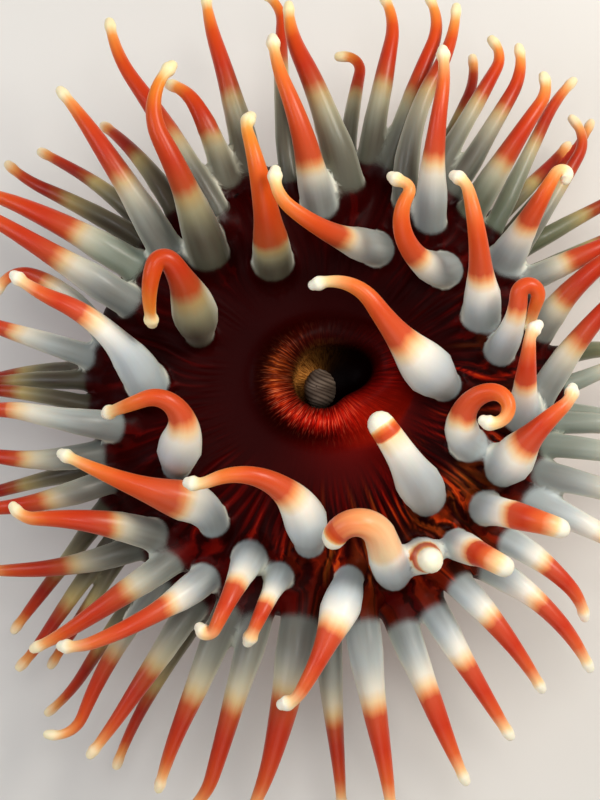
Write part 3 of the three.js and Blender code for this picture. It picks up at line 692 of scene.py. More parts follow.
@dataclass
class Lay:
    """Where the trunk's points lie before any relief.

    Attributes:
        angle: Angles about the upright.
        ring: The outline's radius at each row.
        level: The outline's height at each row.
        run: Length along the outline at each row.
        rim: The widest row's number.
        inner: Which rows lie inside the rim.
        sides: Strengths of the mouth's right, near, left and far sides.
        radius: Points' distances from the upright.
        points: The points.
    """

    angle: np.ndarray
    ring: np.ndarray
    level: np.ndarray
    run: np.ndarray
    rim: int
    inner: np.ndarray
    sides: tuple[np.ndarray, ...]
    radius: np.ndarray
    points: np.ndarray

    @property
    def height(self) -> np.ndarray:
        """Heights of the points."""
        return self.points[..., 2]

    @property
    def out(self) -> np.ndarray:
        """Distances of the points from the centre."""
        return np.hypot(self.points[..., 0], self.points[..., 1])

    @property
    def heading(self) -> np.ndarray:
        """Headings of the points from the centre."""
        return np.arctan2(self.points[..., 1], self.points[..., 0])

    def normals(self) -> np.ndarray:
        """The surface's unit normals, from the differences along and across the rows."""
        across = np.roll(self.points, -1, axis=1) - np.roll(self.points, 1, axis=1)
        normal = np.cross(across, np.gradient(self.points, axis=0))
        return normal / np.maximum(np.linalg.norm(normal, axis=2, keepdims=True), 1e-9)


@dataclass
class Relief:
    """What rises from the trunk, each from 0 to about 1.

    Attributes:
        stream: The angle about the mouth, bent round the roots.
        pleat: Folds of the disc.
        strength: Each fold's own strength of colour.
        lip: The lips.
        gullet: The throat.
        ribs: Ribs of the lips and throat.
        wall: The column.
        wart: Its warts.
    """

    stream: np.ndarray
    pleat: np.ndarray
    strength: np.ndarray
    lip: np.ndarray
    gullet: np.ndarray
    ribs: np.ndarray
    wall: np.ndarray
    wart: np.ndarray


@dataclass
class Trunk:
    """Foot, column, margin, oral disc, lips and throat: one outline turned about the upright.

    Lengths are in millimetres. A side is a heading and a width in degrees, sometimes after a share,
    and a pair over the outline's radii is a place and a width.
    """

    around: int = 360
    steps: int = 14
    oval: float = 0.06
    mouth_start: float = 36.0
    mouth_full: float = 18.0
    face_z: float = 53.3
    lip_radius: float = 20.7
    throat_radius: float = 11.7
    right: tuple[float, float] = (-8.0, 52.0)
    near: tuple[float, float] = (245.0, 60.0)
    left: tuple[float, float] = (165.0, 48.0)
    far: tuple[float, float] = (78.0, 42.0)
    # How far the lips are lowered, as shares, and widened, as lengths, at the right and far sides.
    lip_drop: tuple[float, float] = (0.15, 0.7)
    lip_spread: tuple[float, float] = (3.0, 0.8)
    mound: Patch = Patch(0.32, -38.0, 44.0, 10.5, 5.0)
    slit: Patch = Patch(0.38, 22.0, 40.0, 10.0, 8.0)
    hollow: float = 0.17
    hollow_z: tuple[float, float] = (59.0, 54.5)
    lip: tuple[float, float] = (13.2, 4.4)
    lip_swell: tuple[float, float] = (17.0, 4.5)
    post: float = 0.36
    coarse_folds: int = 44
    medium_folds: int = 57
    fold_height: float = 2.8
    rib_count: int = 62
    rib_height: float = 0.3
    column_radius: float = 53.0
    wart_rows: int = 44
    wart_step: float = 6.2
    wart_size: float = 2.7
    wart_height: float = 1.0
    crease_height: float = 0.28
    seed: int = 5
    map_radius: float = 0.215
    map_height: float = 0.778
    # Colour: where the disc is redder and livelier, where gold is painted along its folds as
    # painted highlight, and where the lips are lit.
    dark: float = 0.13
    redder: tuple[float, float, float] = (0.08, 300.0, 60.0)
    red_mound: Patch = Patch(0.3, -32.0, 48.0, 17.0, 6.0)
    lively: tuple[tuple[float, float, float], ...] = ((1.0, -44.0, 58.0), (0.12, 205.0, 50.0))
    glint_cords: tuple[float, float] = (-50.0, 75.0)
    glint_backs: tuple[float, float, float] = (0.5, -50.0, 34.0)
    glint_edge: tuple[float, float] = (-70.0, 60.0)
    smooth_lip: tuple[float, float, float] = (0.7, -22.0, 44.0)
    # The side where the lips turn gold and the throat wall takes its lit colour: painted light.
    amber: tuple[float, float] = (160.0, 48.0)
    crest: tuple[float, float] = (13.0, 3.8)
    wide_crest: Patch = Patch(0.9, 312.0, 50.0, 14.5, 6.5)
    lit_right: tuple[float, float, float] = (0.75, 326.0, 56.0)
    # Radius, height and the spacing of the rows there.
    outline: tuple[tuple[float, float, float], ...] = (
        (14.0, 0.0, 14.0), (40.0, 0.0, 12.0), (53.0, 0.0, 4.0), (55.8, 0.2, 1.2), (57.0, 1.7, 1.1),
        (56.4, 3.8, 1.2), (54.6, 6.4, 1.5), (51.2, 12.0, 1.7), (49.2, 20.0, 1.7), (51.6, 30.0, 1.7),
        (57.0, 37.4, 1.5), (62.0, 40.0, 1.5), (64.0, 42.6, 1.5), (63.2, 46.0, 1.6), (60.2, 50.0, 1.6),
        (56.0, 53.0, 1.6), (50.0, 54.8, 1.5), (44.0, 55.3, 1.5), (38.0, 55.2, 1.5), (28.0, 53.8, 1.5),
        (20.6, 53.4, 1.1), (17.8, 54.6, 0.8), (15.8, 57.2, 0.7), (13.6, 58.9, 0.7), (11.6, 58.1, 0.7),
        (10.3, 55.6, 0.8), (9.7, 52.0, 1.0), (9.2, 47.0, 1.3), (7.8, 43.0, 1.4), (4.6, 41.5, 1.8),
        (1.4, 41.3, 2.0),
    )

    def rows(self) -> tuple[np.ndarray, np.ndarray, np.ndarray]:
        """The outline's points, spaced as its third column asks.

        The curve through the outline is measured in rows, as the running sum of length over
        spacing, and cut at whole numbers of them.

        Returns:
            Radius, height and length along the outline, one a row.
        """
        curve = spline(np.array(self.outline), self.steps)
        spans = np.hypot(*np.diff(curve[:, :2], axis=0).T)
        run = np.concatenate([[0.0], np.cumsum(spans)])
        pace = 0.5 * (curve[1:, 2] + curve[:-1, 2])
        count = np.concatenate([[0.0], np.cumsum(spans / pace)])
        stops = np.linspace(0.0, count[-1], int(round(count[-1])) + 1)
        radius, height, along = (np.interp(stops, count, part) for part in (curve[:, 0], curve[:, 1], run))
        return radius, np.maximum(height, 0.0), along

    def stream(self, x: np.ndarray, y: np.ndarray, roots: np.ndarray) -> np.ndarray:
        """The angle about the mouth, bent so that its lines part and flow round the tentacles' roots.

        Each root adds the stream of a flow past a round post: size²·(sideways distance) / distance²,
        over the root's own radius from the centre.

        Args:
            x: Across, in millimetres.
            y: Along, in millimetres.
            roots: Rows of x, y and girth.

        Returns:
            The bent angle in radians.
        """
        angle = np.arctan2(y, x)
        bent = np.zeros_like(angle)
        for root_x, root_y, girth in roots:
            far = math.hypot(root_x, root_y)
            post = self.post * girth
            off_x, off_y = x - root_x, y - root_y
            sideways = (-root_y * off_x + root_x * off_y) / far
            bent -= post**2 * sideways / np.maximum(off_x**2 + off_y**2, post**2) / far
        return angle + bent

    def pleats(self, stream: np.ndarray, radius: np.ndarray) -> tuple[np.ndarray, np.ndarray]:
        """Round-backed folds between sharp grooves, as |sin| of the stream at two counts.

        Coarse folds rise among the roots and finer ones run on to the mouth. Slow waves in the
        stream and radius make some folds fade out and others swell. Each coarse fold draws a
        strength of colour of its own.

        Args:
            stream: The bent angle about the mouth.
            radius: Distances from the centre.

        Returns:
            0 in a groove to about 1 on a strong fold, and the folds' own strengths from 0 to 1.
        """
        rng = np.random.default_rng(self.seed)
        phase = rng.uniform(0.0, TURN, 8)
        drift = 0.8 * np.sin(3 * stream + phase[0] + radius / 13)
        drift = drift + 0.6 * np.sin(7 * stream + phase[1] - radius / 9)
        turned = self.coarse_folds * stream + drift + phase[2]
        coarse = np.abs(np.sin(turned))
        medium = np.abs(np.sin(self.medium_folds * stream + 1.4 * drift + phase[3]))
        beat = np.sin(11 * stream + phase[5] + radius / 7) * np.sin(17 * stream + phase[6] - radius / 5)
        swell = 0.7 + 0.3 * beat
        outer = smoothstep(radius, 27.0, 42.0)
        strengths = rng.uniform(0.0, 1.0, 97)
        strength = strengths[np.floor(turned / math.pi).astype(int) % len(strengths)]
        return swell * (outer * coarse + (1 - outer) * medium), strength

    def warts(self, angle: np.ndarray, along: np.ndarray, top: float) -> np.ndarray:
        """Low domes in upright rows up the column, one in each cell of a jittered lattice.

        Args:
            angle: Angles about the upright.
            along: Lengths along the outline.
            top: The length at the rim.

        Returns:
            1 at a wart's middle, falling to 0 at its edge.
        """
        rng = np.random.default_rng(self.seed + 1)
        levels = int(top / self.wart_step) + 2
        jitter = rng.uniform(-1.0, 1.0, (3, self.wart_rows, levels))
        lane = angle / TURN * self.wart_rows
        lane_index = np.floor(lane).astype(int) % self.wart_rows
        stagger = 0.5 * (lane_index % 2)
        level = along / self.wart_step + stagger
        level_index = np.clip(np.floor(level).astype(int), 0, levels - 1)
        shift_x, shift_y, size = (part[lane_index, level_index] for part in jitter)
        width = TURN * self.column_radius / self.wart_rows
        across = (lane - np.floor(lane) - 0.5 - 0.24 * shift_x) * width
        upward = (level - np.floor(level) - 0.5 - 0.2 * shift_y) * self.wart_step
        reach = self.wart_size * (1 + 0.22 * size)
        return np.clip(1 - (across**2 + upward**2) / reach**2, 0.0, 1.0) ** 2

    def lay(self) -> Lay:
        """The trunk's smooth shape.

        A row's ring is a circle about the upright that turns, nearer the mouth, into an oval about
        the mouth's own centre. The lips are lower and wider at the right and far sides. The mound
        and the hollow bring the throat's wall inwards, and the slit takes it outwards.

        Returns:
            The points, and what the relief is worked out from.
        """
        row_radius, row_height, row_run = self.rows()
        rim = int(np.argmax(row_radius))
        angle = TURN * np.arange(self.around)[None, :] / self.around
        ring, level = row_radius[:, None], row_height[:, None]
        inner = (np.arange(len(row_radius)) > rim)[:, None]
        sides = tuple(sector(angle, *side) for side in (self.right, self.near, self.left, self.far))
        right, near, left, far = sides

        lips = inner * (ring < self.lip_radius) * (level > self.face_z)
        rise = 1 - self.lip_drop[0] * right - self.lip_drop[1] * far
        height = np.where(lips, self.face_z + (level - self.face_z) * rise, level + 0 * angle)
        spread = self.lip_spread[0] * right + self.lip_spread[1] * far
        radius = ring + bell(ring, *self.lip_swell) * inner * spread
        hollow = (left + 0.7 * near) * smoothstep(level, *self.hollow_z) * (ring < self.throat_radius)
        inwards = self.mound.over(angle, ring) + self.hollow * np.clip(hollow, 0, 1)
        inwards = inwards - self.slit.over(angle, ring)
        radius = radius * (1 - inner * inwards)

        mouth = inner * (1 - smoothstep(ring, self.mouth_full, self.mouth_start))
        x = radius * np.cos(angle) * (1 + self.oval * mouth) + MOUTH_CENTRE[0] * mouth
        y = radius * np.sin(angle) * (1 - self.oval * mouth) + MOUTH_CENTRE[1] * mouth
        points = np.stack([x, y, height], -1)
        return Lay(angle, ring, level, row_run, rim, inner, sides, radius, points)

    def relief(self, lay: Lay, roots: np.ndarray) -> Relief:
        """What rises from the smooth shape.

        Args:
            lay: The smooth shape.
            roots: Rows of x, y and girth of the tentacles.

        Returns:
            The relief.
        """
        angle, height = lay.angle, lay.height
        stream = self.stream(lay.points[..., 0], lay.points[..., 1], roots)
        pleat, strength = self.pleats(stream, lay.out)
        wave = 1.3 * np.sin(5 * angle + 1.0) + 0.9 * np.sin(13 * angle) + 0.5 * np.sin(29 * angle + 2.0)
        wall = ~lay.inner * smoothstep(height, 3.0, 7.0) * (1 - smoothstep(height, 38.0, 42.0))
        wart = self.warts(angle, lay.run[:, None] + 0 * angle, float(lay.run[lay.rim]))
        return Relief(
            stream, pleat, strength,
            lip=lay.inner * bell(lay.ring, *self.lip) * (lay.level > 52.0),
            gullet=lay.inner * (1 - smoothstep(height, 47.0, 57.0)) * (lay.ring < self.throat_radius + 0.1),
            ribs=1 - np.abs(np.sin(0.5 * self.rib_count * angle + wave + 0.05 * lay.radius)),
            wall=wall, wart=wart * wall,
        )

    def lift(self, lay: Lay, relief: Relief) -> np.ndarray:
        """How far folds, ribs, warts and creases push each point out along its normal.

        Args:
            lay: The smooth shape.
            relief: Its relief.

        Returns:
            Lengths in millimetres.
        """
        right, near, left, _ = lay.sides
        face = lay.inner * smoothstep(lay.out, 19.0, 28.0) * (1 - smoothstep(lay.out, 61.0, 64.0))
        ribbed = (0.25 + 0.75 * np.clip(left + near, 0, 1)) * np.clip(relief.lip + relief.gullet, 0, 1)
        ribbed = ribbed * (1 - 0.9 * right)
        crease = np.sin(27 * lay.angle + 2 * np.sin(3 * lay.angle))
        crease = crease * np.sin(lay.height / 4.5 + 2 * np.sin(5 * lay.angle))
        lift = self.fold_height * face * smoothstep(lay.out, 24.0, 46.0) * (relief.pleat - 0.4)
        lift += self.rib_height * ribbed * (relief.ribs - 0.5)
        lift += self.wart_height * relief.wart * (2 - relief.wart) + self.crease_height * crease * relief.wall
        return lift

    def marks(self, lay: Lay, relief: Relief) -> dict[str, np.ndarray]:
        """The trunk's marks.

        The disc is painted redder along the backs of its folds and darker in the grooves, on its lively
        sides, as painted highlight and shade, each coarse fold with a strength of red of its own; gold is
        painted along the tops of some folds as painted highlight, and the disc is dark elsewhere. The lips
        are painted bright along their crest where they are lit and dark where they lie in shade: painted
        light and shade.

        Args:
            lay: The smooth shape.
            relief: Its relief.

        Returns:
            The marks by name.
        """
        angle, height, out, heading = lay.angle, lay.height, lay.out, lay.heading
        _, near, left, _ = lay.sides
        lively = 0.12 + 0.88 * np.clip(sectors(heading, *self.lively), 0, 1)
        reached = smoothstep(out, 24.0, 44.0) * (1 - 0.6 * smoothstep(out, 50.0, 58.0))
        back = smoothstep(relief.pleat, 0.2, 0.95)
        redness = self.dark + sectors(heading, self.redder) + self.red_mound.over(angle, lay.ring)
        # Painted highlight and shade: fold backs redder and grooves darker on the lively sides; each fold's
        # own strength of red is its colour.
        redness = redness + reached * lively * (back * (0.24 + 0.5 * relief.strength**1.5) - 0.12)
        # Painted highlight: gold along the tops of some folds and on fold backs at the right side, kept off
        # the margin.
        gild = smoothstep(np.abs(relief.strength - 0.45), 0.1, 0.02) * back**3 * lively
        gild = gild * sector(heading, *self.glint_cords)
        gild = gild + sectors(heading, self.glint_backs) * smoothstep(out, 36.0, 46.0) * back
        edge = smoothstep(out, 55.0, 60.0) * (1 - sector(heading, *self.glint_edge))
        gild = np.clip(gild, 0, 1) * (1 - edge)
        # Painted light and shade: the lips' crest is painted bright where lit and dark on the far side,
        # brighter on the rib tops.
        crest = np.maximum(bell(lay.ring, *self.crest), self.wide_crest.over(angle, lay.ring))
        lit = 0.03 + 0.5 * left + 0.62 * near + sectors(angle, self.lit_right)
        return marks_of(
            lay.radius.shape,
            redness=np.clip(redness, 0, 1),
            corded=smoothstep(out, 22.0, 38.0) * (0.25 + 0.75 * lively),
            gild=gild * reached,
            wall=np.where(lay.inner, 0.0, 1 - smoothstep(height, 40.0, 44.0)),
            wart=relief.wart,
            lip=relief.lip * (1 - sectors(angle, self.smooth_lip)),
            lip_glow=np.clip(crest * lit * (0.62 + 0.38 * relief.ribs), 0, 1),
            amber=sector(angle, *self.amber),
            hair=crest * np.clip(near + 0.35 * left, 0, 1),
            gullet=relief.gullet,
            trunk_grain=rolled(relief.stream, 50, 0.09 * out + 0.5 * (~lay.inner) * height),
            lip_grain=rolled(angle, 13, 0.08 * lay.run[:, None]),
        )

    def grid(self, roots: np.ndarray) -> Grid:
        """The trunk's surface.

        Args:
            roots: Rows of x, y and girth of the tentacles.

        Returns:
            The closed grid.
        """
        lay = self.lay()
        relief = self.relief(lay, roots)
        points = lay.points + lay.normals() * self.lift(lay, relief)[..., None]
        ends = np.array([[0.0, 0.0, 0.0], [*MOUTH_CENTRE, lay.level[-1, 0]]])
        layout = self.layout(lay.run, lay.rim)
        return Grid("skin", Origin.BODY.value, points, ends, layout, self.marks(lay, relief))

    def layout(self, run: np.ndarray, rim: int) -> np.ndarray:
        """Two round maps: the underside and column out to the margin, and the face in to the throat.

        A point's distance from a map's centre is its length along the outline from that end.
        """
        angle = TURN * np.arange(self.around + 1)[None, :] / self.around
        run = np.concatenate([[0.0], run + run[1] - run[0], [run[-1] + 2 * (run[-1] - run[-2])]])
        edge = run[rim + 1]
        below = run <= edge
        reach = np.where(below, run / edge, (run[-1] - run) / (run[-1] - edge))[:, None]
        centre = np.where(below, 0.25, 0.75)[:, None]
        reach = self.map_radius * reach
        return np.stack([centre + reach * np.cos(angle), self.map_height + reach * np.sin(angle)], -1)


@dataclass
class ThroatFold:
    """The pale fold that stands up from the throat's floor, finely ridged on a slant."""

    around: int = 80
    rings: int = 52
    centre: tuple[float, float, float] = (-0.4, -0.5, 46.8)
    half: tuple[float, float, float] = (4.3, 5.5, 6.6)
    lean_deg: float = 10.0
    ridge_gap: float = 0.95
    ridge_height: float = 0.24
    slant_deg: float = 57.0
    sway: float = 0.55
    trim: tuple[float, float] = (0.06, 0.97)
    map_corner: tuple[float, float] = (0.44, 0.56)
    map_size: tuple[float, float] = (0.12, 0.04)

    def grid(self) -> Grid:
        """The fold's surface, an egg whose top leans towards -X.

        Its ridges are |sin| of the distance across a slanted, swaying line, seen from above.

        Returns:
            The closed grid.
        """
        level = np.linspace(*self.trim, self.rings)[:, None] * math.pi
        angle = TURN * np.arange(self.around)[None, :] / self.around
        x = self.half[0] * np.sin(level) * np.cos(angle)
        y = self.half[1] * np.sin(level) * np.sin(angle)
        z = -self.half[2] * np.cos(level) + 0 * angle
        slant = math.radians(self.slant_deg)
        across = x * math.cos(slant) + y * math.sin(slant)
        along = y * math.cos(slant) - x * math.sin(slant)
        across = across + self.sway * (np.sin(0.42 * along + 0.6) + 0.4 * np.sin(1.3 * across + 0.5 * along))
        ridge = np.abs(np.sin(math.pi * across / self.ridge_gap))
        ridge = ridge * (0.78 + 0.22 * np.sin(0.9 * along + across))
        swell = 1 + self.ridge_height / self.half[0] * (ridge - 0.5)
        x, y = x * swell, y * swell
        lean = math.radians(self.lean_deg)
        x, z = x * math.cos(lean) - z * math.sin(lean), x * math.sin(lean) + z * math.cos(lean)
        rings = np.stack([x, y, z], -1) + np.array(self.centre)
        poles = np.stack([rings[0].mean(axis=0), rings[-1].mean(axis=0)])
        u = self.map_corner[0] + self.map_size[0] * np.linspace(0, 1, self.around + 1)[None, :]
        v = self.map_corner[1] + self.map_size[1] * np.linspace(0, 1, self.rings + 2)[:, None]
        grain = np.stack([x, y, z], -1)
        # The ridge height rides in the redness mark, so that the fold is painted paler on its ridge tops and
        # darker in its grooves: painted highlight and shade.
        marks = marks_of(x.shape, trunk_grain=grain, lip_grain=grain, redness=ridge, silver=1.0, gullet=1.0)
        layout = np.stack(np.broadcast_arrays(u, v), -1)
        return Grid("throat_fold_skin", Origin.THROAT_FOLD.value, rings, poles, layout, marks)


@dataclass
class Net:
    """A mesh's points and the edges between them, for averaging over neighbours."""

    points: np.ndarray
    first: np.ndarray
    second: np.ndarray

    def __post_init__(self) -> None:
        """Counts each point's edges."""
        self.count = len(self.points)
        self.links = sum(np.bincount(end, minlength=self.count) for end in (self.first, self.second))

    @classmethod
    def of(cls, mesh: bpy.types.Mesh) -> Net:
        """The net of a mesh."""
        points = np.empty(len(mesh.vertices) * 3, np.float32)
        mesh.vertices.foreach_get("co", points)
        edges = np.empty(len(mesh.edges) * 2, np.int32)
        mesh.edges.foreach_get("vertices", edges)
        return cls(points.reshape(-1, 3).astype(float), *edges.reshape(-1, 2).T)

    def total(self, values: np.ndarray) -> np.ndarray:
        """Sum of each point's neighbours, column by column."""
        first, second, count = self.first, self.second, self.count
        return np.stack([
            np.bincount(first, one[second], count) + np.bincount(second, one[first], count)
            for one in values.T
        ], -1)

    def mean(self, values: np.ndarray) -> np.ndarray:
        """Mean of each point's neighbours, column by column."""
        return self.total(values) / np.maximum(self.links, 1)[:, None]

    def widened(self, weight: np.ndarray, fade: float) -> np.ndarray:
        """Weights spread to the neighbours, times a share, where that is more than they have."""
        wider = weight.copy()
        np.maximum.at(wider, self.first, fade * weight[self.second])
        np.maximum.at(wider, self.second, fade * weight[self.first])
        return wider


@dataclass
class Skin:
    """The whole animal's skin: trunk, fold and tentacles grown together as one closed surface.

    Attributes:
        reach: Edges out from a crease that are rounded.
        fade: Share of a point's weight that the next one out gets.
        straighten: Passes that straighten a crease along its own line.
        line_share: Share of the way to its neighbours' mean that a point goes in each of them.
        passes: Passes that round the crease.
        round_share: The same share for those.
        blend: Passes that blend the share between trunk and limb.
        carry: Edges that marks are carried on beyond where they are known.
        footing: Height in metres under which nothing moves, so that the foot stays flat.
    """

    reach: int = 6
    fade: float = 0.76
    straighten: int = 16
    line_share: float = 0.5
    passes: int = 12
    round_share: float = 0.6
    blend: int = 5
    carry: int = 10
    footing: float = 0.002

    def build(self, grids: list[Grid]) -> bpy.types.Object:
        """Unites the grids, rounds the creases where they meet and blends their marks there.

        Args:
            grids: The trunk first, then all that grows on it.

        Returns:
            The skin object.
        """
        scene = bpy.context.scene
        parts = bpy.data.collections.new("growing")
        scene.collection.children.link(parts)
        trunk = grids[0].build(scene.collection)
        for grid in grids[1:]:
            grid.build(parts)
        union = trunk.modifiers.new("union", "BOOLEAN")
        union.operation, union.solver = "UNION", "MANIFOLD"
        union.operand_type, union.collection = "COLLECTION", parts
        graph = bpy.context.evaluated_depsgraph_get()
        mesh = bpy.data.meshes.new_from_object(
            trunk.evaluated_get(graph), preserve_all_data_layers=True, depsgraph=graph
        )
        trunk.modifiers.clear()
        trunk.data = mesh
        for part in list(parts.objects):
            bpy.data.objects.remove(part)
        bpy.data.collections.remove(parts)
        self.soften(mesh)
        mesh.polygons.foreach_set("use_smooth", np.ones(len(mesh.polygons), bool))
        mesh.update()
        return trunk

    def read(self, mesh: bpy.types.Mesh, name: str) -> np.ndarray:
        """A point mark's values, one row a point."""
        layer = mesh.attributes[name]
        width, slot = (1, "value") if layer.data_type == "FLOAT" else (3, "vector")
        values = np.empty(len(mesh.vertices) * width, np.float32)
        layer.data.foreach_get(slot, values)
        return values.reshape(-1, width)

    def origins(self, mesh: bpy.types.Mesh) -> tuple[np.ndarray, np.ndarray]:
        """Which grown pieces meet at each point.

        Args:
            mesh: The united mesh.

        Returns:
            The lowest and the highest origin among each point's faces.
        """
        corner = np.empty(len(mesh.loops), np.int32)
        mesh.loops.foreach_get("vertex_index", corner)
        sizes = np.empty(len(mesh.polygons), np.int32)
        mesh.polygons.foreach_get("loop_total", sizes)
        origin = np.empty(len(mesh.polygons), np.int32)
        mesh.attributes["origin"].data.foreach_get("value", origin)
        per_corner = np.repeat(origin, sizes)
        lowest = np.full(len(mesh.vertices), np.iinfo(np.int32).max)
        highest = np.zeros(len(mesh.vertices), int)
        np.minimum.at(lowest, corner, per_corner)
        np.maximum.at(highest, corner, per_corner)
        return lowest, highest

    def carried(
        self, mesh: bpy.types.Mesh, net: Net, names: tuple[str, ...], seen: np.ndarray
    ) -> dict[str, np.ndarray]:
        """Marks carried outwards from the points where they are known, an edge a pass.

        Args:
            mesh: The united mesh.
            net: Its net.
            names: The marks.
            seen: The points where they are known.

        Returns:
            The marks' values by name.
        """
        values = np.hstack([self.read(mesh, name) for name in names]).astype(float)
        known = seen.astype(float)[:, None]
        for _ in range(self.carry):
            near = net.mean(known)
            filled = net.mean(values * known) / np.maximum(near, 1e-6)
            fresh = (known < 0.5) & (near > 1e-6)
            values = np.where(fresh, filled, values)
            known = np.where(fresh, 1.0, known)
        widths = [3 if name in VECTORS else 1 for name in names]
        return dict(zip(names, np.split(values, np.cumsum(widths)[:-1], axis=1)))

    def soften(self, mesh: bpy.types.Mesh) -> None:
        """Rounds the creases and carries the marks across them.

        A point on a crease touches faces of two origins. The limbs' marks are known on the limbs
        and spread outwards from there, the trunk's spread the other way, and the share between them
        is averaged. The crease itself is first straightened along its own line. A crease point's
        weight is 1 and falls off by a set share an edge away from it; each pass moves a point
        towards its neighbours' mean by that weight.

        Args:
            mesh: The united mesh, changed in place.
        """
        net = Net.of(mesh)
        points = net.points
        lowest, highest = self.origins(mesh)
        crease = lowest != highest
        marks = {
            **self.carried(mesh, net, LIMB_MARKS, (lowest >= Origin.TENTACLE.value) & ~crease),
            **self.carried(mesh, net, TRUNK_MARKS, (highest < Origin.TENTACLE.value) & ~crease),
        }
        weight = crease.astype(float)
        for _ in range(self.reach):
            weight = net.widened(weight, self.fade)
        weight = weight[:, None] * (points[:, 2:3] > self.footing)
        zone = self.read(mesh, "zone").astype(float)
        zone[crease] = net.mean(zone)[crease]

        both = crease[net.first] & crease[net.second]
        line = Net(points, net.first[both], net.second[both])
        linked = line.links > 0
        for _ in range(self.straighten):
            mean = line.total(points)[linked] / line.links[linked, None]
            points[linked] += self.line_share * (mean - points[linked])
        for _ in range(self.passes):
            points += self.round_share * weight * (net.mean(points) - points)
        for _ in range(self.blend):
            zone += weight * (net.mean(zone) - zone)
        marks["zone"] = zone
        mesh.vertices.foreach_set("co", points.astype(np.float32).ravel())
        for name, values in marks.items():
            slot = "vector" if name in VECTORS else "value"
            mesh.attributes[name].data.foreach_set(slot, values.astype(np.float32).ravel())
        LOG.info("creases softened at %d of %d points", int(crease.sum()), net.count)


def linear(colour: str) -> tuple[float, float, float, float]:
    """An sRGB hex colour as linear light, with full alpha."""
    parts = (int(colour[i:i + 2], 16) / 255 for i in (1, 3, 5))
    red, green, blue = (c / 12.92 if c <= 0.04045 else ((c + 0.055) / 1.055) ** 2.4 for c in parts)
    return red, green, blue, 1.0


Stops = tuple[tuple[float, str], ...]
Sockets = dict[str, bpy.types.NodeSocket]


def add_node(
    tree: bpy.types.NodeTree,
    kind: str,
    inputs: dict[str | int, object] | None = None,
    output: str | int = 0,
    stops: Stops = (),
    **settings: object,
) -> bpy.types.NodeSocket | None:
    """Adds a node with its settings, values and links.

    Args:
        tree: The material's node tree.
        kind: The node's type, without the words "ShaderNode".
        inputs: By input, a socket to link, a hex colour or a plain value.
        output: The output that is given back.
        stops: Places and hex colours of a ColorRamp.
        settings: Attributes of the node.

    Returns:
        One of the node's outputs, or None where it has none.
    """
    node = tree.nodes.new("ShaderNode" + kind)
    for name, value in settings.items():
        setattr(node, name, value)
    for key, value in (inputs or {}).items():
        if isinstance(value, bpy.types.NodeSocket):
            tree.links.new(value, node.inputs[key])
        else:
            node.inputs[key].default_value = linear(value) if isinstance(value, str) else value
    if stops:
        elements = node.color_ramp.elements
        while len(elements) < len(stops):
            elements.new(1.0)
        for element, (place, colour) in zip(elements, stops):
            element.position, element.color = place, linear(colour)
    return node.outputs[output] if len(node.outputs) else None


@dataclass(frozen=True)
class Gloss:
    """How one kind of flesh takes the light."""

    roughness: float
    specular: float
    coat: float
    sheen: float
    subsurface: float


